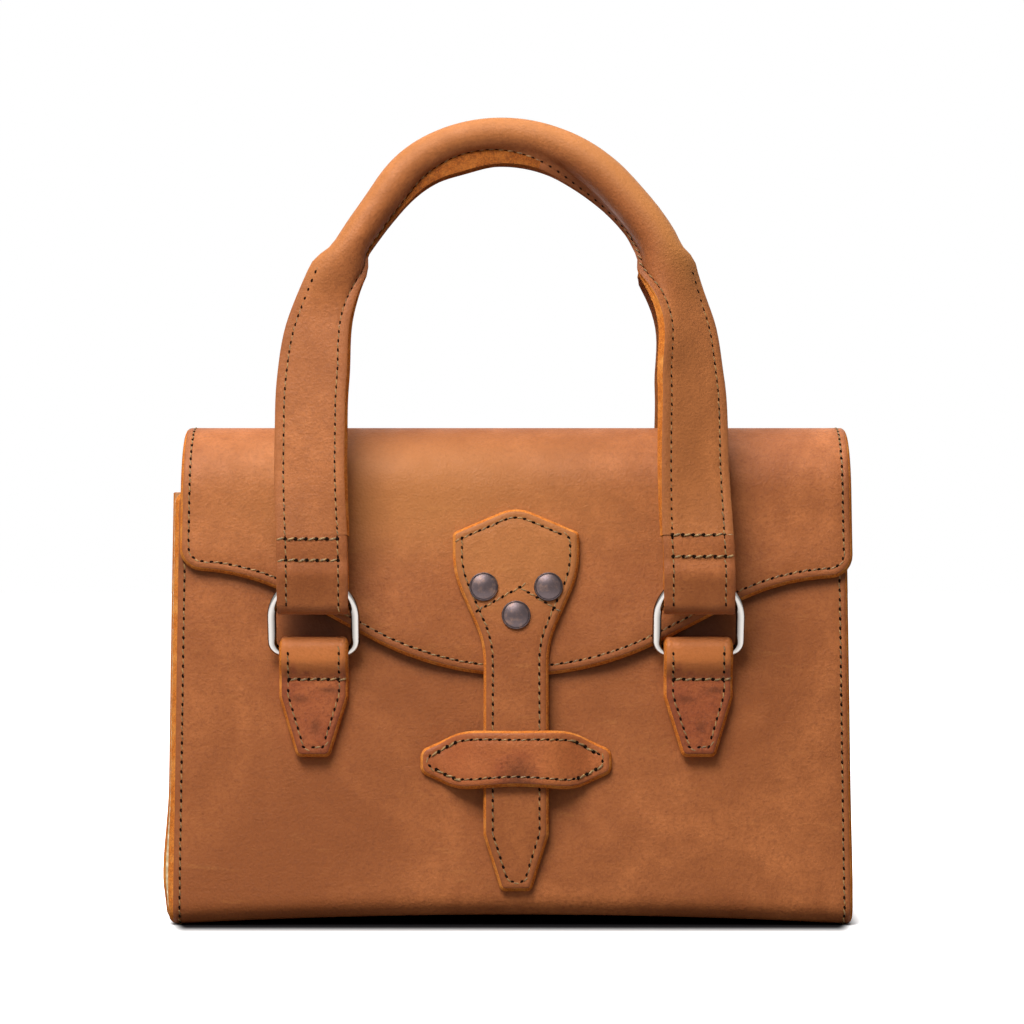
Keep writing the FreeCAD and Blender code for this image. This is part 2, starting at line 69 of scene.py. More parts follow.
# Lengths below are in millimetres, and a mesh is scaled to metres when it is made
MM = 0.001
JOINTS = {joint["name"]: np.array(joint["pos_m"]) / MM for joint in frame["joints"]}
WRAP_BOX = np.array(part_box("body_wrap")) / MM
FLAP_BOX = np.array(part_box("flap_outer")) / MM

# Body, as it is cut and sewn
BODY_HALF = WRAP_BOX[1][0]
SHOULDER_HEIGHT = WRAP_BOX[1][2]
SHOULDER_HALF = 30.0
BASE_FLAT_HALF = 43.0
BASE_CORNER = 15.0
BASE_FOLD = 8.0
WRAP_LEATHER = 2.2
LINING_CLOTH = 0.8
GUSSET_LEATHER = 2.0
GUSSET_FLANGE = 10.0
GUSSET_FOLD = 3.5
GUSSET_DISH = 7.0
GUSSET_SPINE_FOOT = 42.0
GUSSET_SHARES = (0.12, 0.27, 0.45, 0.63, 0.8, 0.93, 1.0)
PANEL_CORNER = 5.0
SIDE_INSET = 1.15
GUSSET_DISH_FOOT = 50.0
GUSSET_DISH_LOW = 0.25
GUSSET_SAG = 30.0

# Layers: gaps between them, and how far each lining or backing is cut back from its leather
LAYER_GAP = 0.02
CLOTH_GAP = 0.05
FLAP_CLOTH_GAP = 0.06
CUT_BACK = {"body": 0.2, "flap": 0.1, "closure": 0.25, "keeper": 0.3}

# How the panels wave: lengths across and up, starts, share of the short wave, and where the tabs hold them
LONG_WAVE = (52.0, 41.0)
LONG_WAVE_START = (0.7, 0.4)
SHORT_WAVE = (23.0, 31.0)
SHORT_WAVE_SHARE = 0.6
WAVE_IN = (8.0, 45.0)
TAB_HOLD = (26.0, 30.0)
TAB_HOLD_DROP = 8.0
BASE_BOW_END = (6.0, 60.0)

# How the cut edges of the layers splay: heights where it comes in and ends, and how far on each side
SPLAY_IN = (3.0, 22.0)
SPLAY_END = (24.0, 62.0)
SPLAY_LEFT = (0.5, 0.25)
SPLAY_RIGHT = 0.1
SPLAY_CLOTH = 0.9
SPLAY_RIM = 12.0

# Flap and the strip of it that is sewn to the back
FLAP_MIDDLE = (FLAP_BOX[0][0] + FLAP_BOX[1][0]) / 2
FLAP_HALF = (FLAP_BOX[1][0] - FLAP_BOX[0][0]) / 2
FLAP_GAP = 0.3
FLAP_LEATHER = 2.2
FLAP_CLOTH = 0.8
FLAP_LOW = 108.3
FLAP_LOW_HALF = 35.0
FLAP_LOW_RADIUS = 135.0
FLAP_WAIST = 153.0
FLAP_WAIST_HALF = 117.0
FLAP_WAIST_RADIUS = 118.0
FLAP_SIDE = 155.0
FLAP_CORNER = 12.0
HINGE_HEIGHT = 175.0
ANCHOR_DROP = 25.0
FLAP_OUT = FLAP_GAP + FLAP_CLOTH + FLAP_LEATHER
FLAP_OVERHANG = 1.1
# Where its edge is free to lift: across from its middle, and up from its lowest point
FLAP_FREE = (19.0, 48.0)
FLAP_LIFT = 75.0
FLAP_RIGHT_DROP = (3.4, 3.0)
# Rows of stitches on the sewn strip, down from its hinge
ANCHOR_SEAMS = (5.0, 19.0)

# Closure strap, from the top of its head to the tip of its tongue
CLOSURE_LEATHER = 2.2
CLOSURE_BACKING = 1.8
CLOSURE_HALF = (
    (0.0, 182.6, 17.0),
    (28.0, 170.7, 2.5),
    (28.0, 153.0, 42.0),
    (14.3, 122.0, 42.0),
    (14.3, 39.0, 2.5),
    (6.6, 15.0, 2.5),
)
CLOSURE_OUT = FLAP_OUT + CLOSURE_BACKING + CLOSURE_LEATHER
# Corners of the stitched vee on its head: across, and height above the base
CLOSURE_VEE = ((-17.2, 136.0), (1.6, 146.4), (16.8, 137.4))
TONGUE_DIP = 2.6
TONGUE_BEND = (22.0, 56.0)
RIVET_SPOTS = ((-14.3, 146.6), (14.3, 146.6), (0.0, 134.2))
RIVET_RADIUS = 6.4
RIVET_HEIGHT = 2.2
# Rolled rim of a cap, in shares of its radius and height
RIVET_RIM = ((0.885, 0.36), (0.9, 0.36), (0.925, 0.5), (0.955, 0.5), (0.985, 0.36), (1.0, 0.12))

# Keeper over the closure strap
KEEPER_HALF = 42.0
KEEPER_END_HALF = 5.0
KEEPER_FULL = 24.0
KEEPER_TALL_HALF = 13.0
KEEPER_MIDDLE = 71.0
KEEPER_BRIDGE = CLOSURE_OUT + 0.3
KEEPER_CROWN = 13.0
KEEPER_RAMP = 21.0
KEEPER_BOW = 0.9
KEEPER_LEATHER = 2.2
KEEPER_CLOTH = 1.0

# Ring tabs, rings and handle loops
BAR = JOINTS["front_left_ring_swing"][1:]
LOOP = JOINTS["front_handle_turn"][1:]
LEG_MIDDLES = (JOINTS["front_left_ring_swing"][0], JOINTS["front_right_ring_swing"][0])
HANDLE_SHIFT = sum(LEG_MIDDLES) / 2
LEG_HALF = (LEG_MIDDLES[1] - LEG_MIDDLES[0]) / 2
FACES = (("front", 1.0), ("back", -1.0))
SIDES = (("left", LEG_MIDDLES[0]), ("right", LEG_MIDDLES[1]))
TAB_LEATHER = 2.8
TAB_HALF = 15.25
TAB_TIP_HALF = 7.2
TAB_CORNER = 3.0
TAB_LENGTH = 52.4
TAB_TAPER = 26.0
TAB_CLOSE = 12.0
TAB_HOLE = 2.2
TAB_SLACK = 1.3
TAB_ROOM = 0.8
# Dark marks on a tab: across, below the bar, and half their width and height
TAB_MARKS = (
    (-9.0, 5.5, 1.6, 2.2),
    (-3.5, 7.5, 1.4, 1.2),
    (12.5, 6.0, 0.9, 3.5),
    (-6.0, 21.0, 4.0, 1.6),
    (7.0, 17.0, 5.0, 1.4),
    (1.0, 33.0, 2.2, 3.0),
)
TAB_BAR_HEIGHT = 118.3
BAR_OUT = TAB_LEATHER + TAB_HOLE
WIRE_RADIUS = 2.0
RING_HALF = 18.3
RING_LEG = 16.0
RING_CORNER = 5.0
STRAP_HALF = 15.5
STRAP_LEATHER = 2.2
LOOP_TURN = math.radians(10.0)
LOOP_GAP = 3.1
LOOP_LOW = 6.5
LOOP_KNEE = 18.0
KNEE_RISE = 5.0
LOOP_CLOSE = (5.0, 15.5)

# Handle arch: turns in degrees along it, from the straight strap to the top
ARCH_HEIGHT = 349.6
ARCH_DEPTH = 17.0
ARCH_RADIUS = 63.0
ARCH_SIDE_TURN = 37.0
ROLL_RADIUS = 8.0
ROPE_RADIUS = 5.9
FIN_HALF = 1.9
NECK_HALF = 12.0
NECK_TURN = 22.5
ROLL_TURNS = (14.0, 26.5)
OUTER_SHOULDER = (21.8, 25.6)
INNER_SHOULDER = (23.6, 27.0)
# The grip's seam, at shares of the way from the top (0) to the left knee (-1) and the right knee (1): turn to
# the front in degrees, depth of the raw fin, how far down the fin the stitches run, and fullness of the roll
SEAM_TURNS = {
    -1.0: 0.0, -0.9: 6.0, -0.6: 6.0, -0.5: 0.0, -0.42: -8.0, -0.3: -6.0, -0.2: 5.0, -0.1: 10.0, 0.0: 4.0,
    0.1: 0.0, 0.2: -30.0, 0.34: -55.0, 0.41: -15.0, 0.47: 26.0, 0.54: 32.0, 0.6: 32.0, 0.75: 20.0, 0.9: 14.0,
    1.0: 0.0,
}
FIN_DEPTHS = {
    -0.42: 0.7, -0.3: 1.0, -0.2: 3.4, -0.1: 7.8, 0.0: 6.2, 0.1: 4.8, 0.2: 3.4, 0.34: 3.0,
    0.41: 1.6, 0.47: 0.7,
}
STITCH_SHARES = {0.0: 0.0, 0.1: 0.45, 0.2: 0.8, 0.34: 0.7, 0.41: 0.3, 0.47: 0.0}
ROLL_FULLNESS = {0.0: 1.0, 0.1: 1.04, 0.2: 1.16, 0.34: 1.16, 0.41: 1.06, 0.47: 1.0}
STRAP_FLARE = 1.0
# A strap's cut edge bulges at the middle of each leaf and is parted between the leaves
EDGE_BULGE = 0.1
EDGE_PARTING = 0.25
# Painted highlight on the rolled grip's outer side, from its left to its right, and painted shade on its
# inner side
ROLL_HIGHLIGHT = (0.3, 0.6)
ROLL_SHADE = 0.4
FLANK_BULGES = (1.5, 2.5)
LEG_LEAN = 1.8
TOP_LEAN = 2.7
BACK_SPREAD = 4.6
# Heights between which the lean, the bulge and the spread come in and end
LEAN_IN = (150.0, 205.0)
LEAN_END = (286.0, 308.0)
TOP_LEAN_IN = (315.0, 350.0)
BULGE_IN = (240.0, 268.0)
BULGE_END = (300.0, 328.0)
SPREAD_IN = (150.0, 215.0)
BACK_FIN_SHARE = 0.4
# Heights of the bar tacks on the right strap and on the left one
TACK_HEIGHTS = {1.0: (172.0, 162.2), -1.0: (168.6, 160.0)}

# Seams: distance in from the edge, dent that the thread pulls, turn by which stitches stray, and cut edges
SEAM_INSET = 4.1
SEAM_STEP = 1.5
SEAM_DENT = 0.22
STITCH_STRAY = 0.07
STITCH_SEED = 7
DENT_REACH = 0.45
EDGE_ROUND = 0.4
RING_STEPS = (0.35, 0.9)
SEAM_SHOULDER = 0.8

# Wear and painted light: how far wear reaches in from an edge, and how strong the rubs, faded patches,
# painted shade and painted highlights are
WEAR_REACH = 2.2
# Painted shade in the rings' openings and painted shadow under the flap's edge, which stand also for rubs
# there
RING_SHADE_AND_RUB = 0.85
RING_SHADE_AND_RUB_HALF = 15.0
FLAP_EDGE_SHADOW_AND_RUB = 0.5
# Painted highlight on the flap's upper front and shoulder: its strength, middle, half width, and where it
# comes in and ends
FLAP_HIGHLIGHT = 0.4
FLAP_HIGHLIGHT_MIDDLE = -45.0
FLAP_HIGHLIGHT_HALF = 85.0
FLAP_HIGHLIGHT_IN = (38.0, 75.0)
FLAP_HIGHLIGHT_END = (90.0, 125.0)
# Painted highlight towards the top of the closure strap's head
CLOSURE_HIGHLIGHT = 0.3
KEEPER_RUB = 0.6
KEEPER_FADE = 0.2
TAB_RUB = 0.55
TAB_SHADE = 0.04
# Painted highlight on a tab's fold, which faces the overhead light
TAB_FOLD_HIGHLIGHT = 0.6
# Colour of real stains and of painted shade
STAIN_AND_SHADE_COLOUR = "#46220f"

# Stage, in metres and watts; each light has its place, its width and height, and its power
CAMERA_SPOT = (0.0, -1.545, 0.1807)
CAMERA_ANGLE = math.radians(17.1)
FLOOR_REACH = 6.0
# Reach of the shadow painted on the floor round the base, and of the white glow beyond it
SHADOW_REACH = (0.018, 0.044)
GLOW_REACH = (0.028, 0.09)
LIGHT_TARGET = (0.0, 0.0, 0.17)
LIGHTS = {
    "key_light": ((-0.45, -0.85, 1.5), (1.0, 0.7), 38.5),
    "top_light": ((0.0, 0.1, 1.6), (1.2, 0.8), 9.5),
    "fill_light": ((-1.3, -1.3, 0.5), (0.8, 0.8), 2.4),
}

# Worked out from the sizes above
_rise = SHOULDER_HEIGHT - BASE_CORNER
_run = BASE_FLAT_HALF - SHOULDER_HALF
PANEL_LEAN = math.atan2(_run, _rise) + math.asin(BASE_CORNER / math.hypot(_run, _rise))
PANEL_OUT = np.array((-math.cos(PANEL_LEAN), math.sin(PANEL_LEAN)))
PANEL_UP = np.array((math.sin(PANEL_LEAN), math.cos(PANEL_LEAN)))
ROOF_RADIUS = SHOULDER_HALF / math.cos(PANEL_LEAN)
ROOF_HEIGHT = SHOULDER_HEIGHT - ROOF_RADIUS * math.sin(PANEL_LEAN)

# Seams that the pieces leave for the stitching, by the piece that carries them
seams = {}
bar_tacks = {}


def linear(code):
    """Linear colour of an sRGB hex value."""
    parts = [int(code[i:i + 2], 16) / 255 for i in (1, 3, 5)]
    return [part / 12.92 if part <= 0.04045 else ((part + 0.055) / 1.055) ** 2.4 for part in parts]


def length(name, description, millimetres):
    """Property for a size that a user would change."""
    return bpy.props.FloatProperty(name=name, description=description, default=millimetres * MM,
                                   unit="LENGTH", precision=5)


def colour(name, description, code):
    """Property for a colour that a user would change."""
    return bpy.props.FloatVectorProperty(name=name, description=description, default=linear(code), size=3,
                                         subtype="COLOR", min=0.0, max=1.0)


class BagSizes(bpy.types.PropertyGroup):
    """Sizes of the sewing and of how the soft leather rests."""

    stitch_pitch: length("Stitch pitch", "Distance from one needle hole to the next", 4.2)
    thread_width: length("Thread width", "Width of the waxed thread", 0.7)
    hole_width: length("Hole width", "Width of a needle hole", 1.15)
    base_bow: length("Base bow", "How far the base arches up in its middle", 4.2)
    panel_wave: length("Panel wave", "How far the panels wave in and out", 0.45)
    flap_curl: length("Flap curl", "How far the flap's free edge lifts", 1.9)
    edge_flare: length("Edge flare", "How far a cut edge slants out from the grain side", 1.2)


class BagColours(bpy.types.PropertyGroup):
    """Colours of the bag's materials."""

    tan: colour("Tan", "Waxed leather of the body, flap and handles", "#b56c3c")
    tan_shade: colour("Tan shade", "Deeper clouds in the waxed leather", "#8f5029")
    burnished: colour("Burnished", "Redder leather of the tabs and the keeper", "#bd6e3e")
    burnished_shade: colour("Burnished shade", "Darker rubbed patches of the tabs and keeper", "#944b2a")
    raw_edge: colour("Raw edge", "Cut edge of the leather", "#df8433")
    flesh: colour("Flesh side", "Inner side of the leather", "#b97f50")
    lining: colour("Lining", "Cotton lining", "#ead9b6")
    thread: colour("Thread", "Waxed thread", "#a87f45")
    steel: colour("Steel", "Polished rings", "#a9a5a2")
    antique: colour("Antique plating", "Rivet caps", "#534849")


def sizes():
    return bpy.context.scene.bag_sizes


def colours():
    return bpy.context.scene.bag_colours


# Materials


def feed(tree, node, inputs):
    """Give a node's sockets their values, or link them to the sockets that feed them."""
    for name, value in inputs.items():
        if isinstance(value, bpy.types.NodeSocket):
            tree.links.new(value, node.inputs[name])
        else:
            node.inputs[name].default_value = value


def add(tree, kind, settings=None, inputs=None):
    """Add a node with its settings and with what goes into its sockets."""
    node = tree.nodes.new(kind)
    for name, value in (settings or {}).items():
        setattr(node, name, value)
    feed(tree, node, inputs or {})
    return node


def new_material(name):
    """A material with its Principled shader and its Object coordinates."""
    material = bpy.data.materials.get(name) or bpy.data.materials.new(name)
    material.use_nodes = True
    tree = material.node_tree
    tree.nodes.clear()
    shader = add(tree, "ShaderNodeBsdfPrincipled")
    add(tree, "ShaderNodeOutputMaterial", inputs={"Surface": shader.outputs[0]})
    place = add(tree, "ShaderNodeTexCoord").outputs["Object"]
    return material, tree, shader, place


def per_metre(millimetres):
    """Scale of a pattern whose features have that size."""
    return 1.0 / (millimetres * MM)


def opaque(value):
    return (value[0], value[1], value[2], 1.0)


def hide(grain):
    """Materials of a piece of leather: its grain side, its cut edge and its flesh side."""
    return [grain, raw_edge(), flesh_side()]


def coats(tree, ground, layers):
    """Colour of a ground with layers over it, each with the share that it covers and its colour."""
    paint = opaque(ground)
    for share, over in layers:
        blend = add(tree, "ShaderNodeMix", {"data_type": "RGBA"}, {0: share, 6: paint, 7: opaque(over)})
        paint = blend.outputs[2]
    return paint


def leather(name, tone, shade, light, rubbed, polish):
    """Waxed pull-up leather: oiled hide whose wax moves, with clouds, rubbed edges, scuffs and pores."""
    material, tree, shader, place = new_material(name)
    cloud = add(tree, "ShaderNodeTexNoise", inputs={
        "Vector": place, "Scale": per_metre(75), "Detail": 5.0, "Roughness": 0.6, "Distortion": 0.8})
    mottle = add(tree, "ShaderNodeTexNoise", inputs={
        "Vector": place, "Scale": per_metre(13), "Detail": 7.0, "Roughness": 0.68})
    drawn = add(tree, "ShaderNodeMapping", inputs={"Vector": place, "Scale": (0.2, 1.0, 1.0),
                                                   "Rotation": (0.0, math.radians(17), 0.0)})
    scuff = add(tree, "ShaderNodeTexNoise", inputs={
        "Vector": drawn.outputs[0], "Scale": per_metre(5), "Detail": 6.0, "Roughness": 0.7})
    pores = add(tree, "ShaderNodeTexVoronoi", {"feature": "F1"}, {
        "Vector": place, "Scale": per_metre(1.1), "Randomness": 1.0})
    grain = add(tree, "ShaderNodeTexNoise", inputs={
        "Vector": place, "Scale": per_metre(1.7), "Detail": 4.0, "Roughness": 0.75})
    clouds = add(tree, "ShaderNodeMapRange", inputs={
        "Value": cloud.outputs["Fac"], "From Min": 0.36, "From Max": 0.64})
    mottles = add(tree, "ShaderNodeMapRange", inputs={
        "Value": mottle.outputs["Fac"], "From Min": 0.36, "From Max": 0.64, "To Max": 0.6})
    scuffs = add(tree, "ShaderNodeMapRange", inputs={
        "Value": scuff.outputs["Fac"], "From Min": 0.6, "From Max": 0.78, "To Max": 0.3})
    specks = add(tree, "ShaderNodeMapRange", inputs={
        "Value": grain.outputs["Fac"], "From Min": 0.46, "From Max": 0.66, "To Max": 0.5})
    worn = add(tree, "ShaderNodeAttribute", {"attribute_name": "wear"})
    stained_and_shaded = add(tree, "ShaderNodeAttribute", {"attribute_name": "stain_and_shade"})
    fade_and_highlight = add(tree, "ShaderNodeAttribute", {"attribute_name": "fade_and_highlight"})
    edge = add(tree, "ShaderNodeMath", {"operation": "MULTIPLY"}, {0: worn.outputs["Fac"], 1: 0.5})
    # Attributes darken it with real stains and painted shade, and lighten it with fading and painted
    # highlights
    paint = coats(tree, shade, (
        (clouds.outputs[0], tone),
        (mottles.outputs[0], shade),
        (scuffs.outputs[0], light),
        (specks.outputs[0], rubbed),
        (edge.outputs[0], rubbed),
        (fade_and_highlight.outputs["Fac"], light),
        (stained_and_shaded.outputs["Fac"], linear(STAIN_AND_SHADE_COLOUR)),
    ))
    gloss = add(tree, "ShaderNodeMapRange", inputs={
        "Value": mottle.outputs["Fac"], "From Min": 0.3, "From Max": 0.7,
        "To Min": polish - 0.06, "To Max": polish + 0.1})
    pits = add(tree, "ShaderNodeBump", inputs={
        "Strength": 0.35, "Distance": 0.3 * MM, "Height": pores.outputs["Distance"]})
    rough = add(tree, "ShaderNodeBump", inputs={
        "Strength": 0.28, "Distance": 0.3 * MM, "Height": mottle.outputs["Fac"], "Normal": pits.outputs[0]})
    fine = add(tree, "ShaderNodeBump", inputs={
        "Strength": 0.55, "Distance": 0.35 * MM, "Height": grain.outputs["Fac"], "Normal": rough.outputs[0]})
    wrinkles = add(tree, "ShaderNodeBump", inputs={
        "Strength": 0.4, "Distance": 0.4 * MM, "Height": scuff.outputs["Fac"], "Normal": fine.outputs[0]})
    feed(tree, shader, {"Base Color": paint, "Roughness": gloss.outputs[0], "Normal": wrinkles.outputs[0],
                        "Specular IOR Level": 0.16})
    return material


def tan_leather():
    """The main hide, waxed to a satin finish."""
    return leather("waxed_tan_leather", colours().tan, colours().tan_shade, light=linear("#c98649"),
                   rubbed=linear("#7d4527"), polish=0.5)


def burnished_leather():
    """The same hide, rubbed with wax until it is redder, darker and a little glossier."""
    return leather("burnished_leather", colours().burnished, colours().burnished_shade,
                   light=linear("#cf7d40"), rubbed=linear("#5f2c1c"), polish=0.42)


def raw_edge():
    """Cut hide: packed fibres, matt and bright orange, with pale and dark flecks along the cut."""
    return cut_hide("raw_leather_edge", colours().raw_edge, linear("#a85a25"), linear("#e6a052"))


def shaded_cut_edge():
    """Cut seam of the grip: the same fibres, in a darker copy of the raw edge that is painted shade for the
    seam under the roll.
    """
    return cut_hide("shaded_leather_edge", linear("#a2581f"), linear("#6b3819"), linear("#b8702f"))


def cut_hide(name, tone, shade, bright):
    """Packed fibres of a cut, matt, in three tones."""
    material, tree, shader, place = new_material(name)
    fibre = add(tree, "ShaderNodeTexNoise", inputs={
        "Vector": place, "Scale": per_metre(0.9), "Detail": 4.0, "Roughness": 0.75})
    patch = add(tree, "ShaderNodeTexNoise", inputs={
        "Vector": place, "Scale": per_metre(7), "Detail": 3.0, "Roughness": 0.6})
    flecks = add(tree, "ShaderNodeMapRange", inputs={
        "Value": fibre.outputs["Fac"], "From Min": 0.38, "From Max": 0.68})
    pale = add(tree, "ShaderNodeMapRange", inputs={
        "Value": patch.outputs["Fac"], "From Min": 0.45, "From Max": 0.75, "To Max": 0.55})
    paint = coats(tree, shade, ((flecks.outputs[0], tone), (pale.outputs[0], bright)))
    bump = add(tree, "ShaderNodeBump", inputs={
        "Strength": 0.6, "Distance": 0.4 * MM, "Height": fibre.outputs["Fac"]})
    feed(tree, shader, {"Base Color": paint, "Normal": bump.outputs[0], "Roughness": 0.88,
                        "Specular IOR Level": 0.08})
    return material


def flesh_side():
    """Inner side of the hide: brushed suede nap, matt, with soft blotches."""
    material, tree, shader, place = new_material("suede_flesh_side")
    nap = add(tree, "ShaderNodeTexNoise", inputs={
        "Vector": place, "Scale": per_metre(1.4), "Detail": 5.0, "Roughness": 0.75})
    blotch = add(tree, "ShaderNodeTexNoise", inputs={
        "Vector": place, "Scale": per_metre(26), "Detail": 3.0, "Roughness": 0.55})
    naps = add(tree, "ShaderNodeMapRange", inputs={
        "Value": nap.outputs["Fac"], "From Min": 0.3, "From Max": 0.7})
    blotches = add(tree, "ShaderNodeMapRange", inputs={
        "Value": blotch.outputs["Fac"], "From Min": 0.35, "From Max": 0.65, "To Max": 0.5})
    paint = coats(tree, linear("#96613a"), (
        (naps.outputs[0], colours().flesh), (blotches.outputs[0], linear("#c99566"))))
    bump = add(tree, "ShaderNodeBump", inputs={
        "Strength": 0.5, "Distance": 0.4 * MM, "Height": nap.outputs["Fac"]})
    feed(tree, shader, {"Base Color": paint, "Normal": bump.outputs[0], "Roughness": 0.92,
                        "Sheen Weight": 0.2})
    return material


def cotton(name, tone, shade, yarn):
    """Plain woven or laid cotton: two sets of yarns, drawn a little coarse to show, matt and soft."""
    material, tree, shader, place = new_material(name)
    yarns = []
    for turn in ((0.0, 0.0, 0.0), (0.0, math.radians(90), math.radians(90))):
        laid = add(tree, "ShaderNodeMapping", inputs={"Vector": place, "Rotation": turn})
        band = add(tree, "ShaderNodeTexWave", {"wave_type": "BANDS", "bands_direction": "DIAGONAL"}, {
            "Vector": laid.outputs[0], "Scale": per_metre(yarn) / 6.3, "Distortion": 1.2, "Detail": 2.0})
        yarns.append(band.outputs["Fac"])
    weave = add(tree, "ShaderNodeMath", {"operation": "MULTIPLY"}, {0: yarns[0], 1: yarns[1]})
    soil = add(tree, "ShaderNodeTexNoise", inputs={
        "Vector": place, "Scale": per_metre(45), "Detail": 4.0, "Roughness": 0.6})
    soils = add(tree, "ShaderNodeMapRange", inputs={
        "Value": soil.outputs["Fac"], "From Min": 0.4, "From Max": 0.7, "To Max": 0.4})
    paint = coats(tree, shade, ((weave.outputs[0], tone), (soils.outputs[0], shade)))
    bump = add(tree, "ShaderNodeBump", inputs={
        "Strength": 0.5, "Distance": 0.3 * MM, "Height": weave.outputs[0]})
    feed(tree, shader, {"Base Color": paint, "Normal": bump.outputs[0], "Roughness": 0.9,
                        "Sheen Weight": 0.15})
    return material


def lining_cotton():
    return cotton("cotton_lining", colours().lining, linear("#bfa47a"), yarn=1.2)


def rope_cotton():
    return cotton("cotton_rope", linear("#d8ccb0"), linear("#a8987a"), yarn=2.4)


def waxed_thread():
    """Twisted waxed thread: olive brown with golden glints where the wax is rubbed off."""
    material, tree, shader, place = new_material("waxed_thread")
    ply = add(tree, "ShaderNodeTexNoise", inputs={
        "Vector": place, "Scale": per_metre(1.3), "Detail": 3.0, "Roughness": 0.7})
    plies = add(tree, "ShaderNodeMapRange", inputs={
        "Value": ply.outputs["Fac"], "From Min": 0.35, "From Max": 0.68})
    paint = coats(tree, linear("#574226"), ((plies.outputs[0], colours().thread),))
    bump = add(tree, "ShaderNodeBump", inputs={
        "Strength": 0.4, "Distance": 0.1 * MM, "Height": ply.outputs["Fac"]})
    feed(tree, shader, {"Base Color": paint, "Normal": bump.outputs[0], "Roughness": 0.5})
    return material


def needle_hole_shade():
    """Painted shade of a hole punched through the leather: near black, with a trace of brown fibre."""
    material, tree, shader, place = new_material("needle_hole_shade")
    fibre = add(tree, "ShaderNodeTexNoise", inputs={
        "Vector": place, "Scale": per_metre(0.6), "Detail": 2.0})
    paint = coats(tree, linear("#0d0805"), ((fibre.outputs["Fac"], linear("#24150c")),))
    feed(tree, shader, {"Base Color": paint, "Roughness": 1.0, "Specular IOR Level": 0.05})
    return material


def polished_steel():
    """Polished steel wire with faint buffing haze, darkened by painted shade on its sides so that its front
    and back stay bright.
    """
    material, tree, shader, place = new_material("polished_steel")
    haze = add(tree, "ShaderNodeTexNoise", inputs={
        "Vector": place, "Scale": per_metre(2.5), "Detail": 4.0, "Roughness": 0.7})
    gloss = add(tree, "ShaderNodeMapRange", inputs={
        "Value": haze.outputs["Fac"], "From Min": 0.3, "From Max": 0.7, "To Min": 0.1, "To Max": 0.22})
    # Painted shade on the wire's sides
    side_shade = add(tree, "ShaderNodeAttribute", {"attribute_name": "wire_side_shade"})
    paint = coats(tree, colours().steel, (
        (haze.outputs["Fac"], linear("#b3ada6")), (side_shade.outputs["Fac"], linear("#3a3532"))))
    feed(tree, shader, {"Base Color": paint, "Roughness": gloss.outputs[0], "Metallic": 1.0})
    return material


def antique_plating():
    """Antique plating on brass: dark, with warm patches where the dark coat is rubbed through."""
    material, tree, shader, place = new_material("antique_plated_brass")
    patch = add(tree, "ShaderNodeTexNoise", inputs={
        "Vector": place, "Scale": per_metre(3.2), "Detail": 5.0, "Roughness": 0.7})
    speck = add(tree, "ShaderNodeTexNoise", inputs={
        "Vector": place, "Scale": per_metre(0.7), "Detail": 3.0, "Roughness": 0.7})
    rubbed = add(tree, "ShaderNodeMapRange", inputs={
        "Value": patch.outputs["Fac"], "From Min": 0.5, "From Max": 0.72, "To Max": 0.7})
    specks = add(tree, "ShaderNodeMapRange", inputs={
        "Value": speck.outputs["Fac"], "From Min": 0.3, "From Max": 0.7, "To Max": 0.35})
    paint = coats(tree, colours().antique, (
        (rubbed.outputs[0], linear("#86695a")), (specks.outputs[0], linear("#3a2e2c"))))
    gloss = add(tree, "ShaderNodeMapRange", inputs={
        "Value": patch.outputs["Fac"], "From Min": 0.3, "From Max": 0.7, "To Min": 0.34, "To Max": 0.5})
    bump = add(tree, "ShaderNodeBump", inputs={
        "Strength": 0.15, "Distance": 0.1 * MM, "Height": speck.outputs["Fac"]})
    feed(tree, shader, {"Base Color": paint, "Roughness": gloss.outputs[0], "Normal": bump.outputs[0],
                        "Metallic": 1.0})
    return material


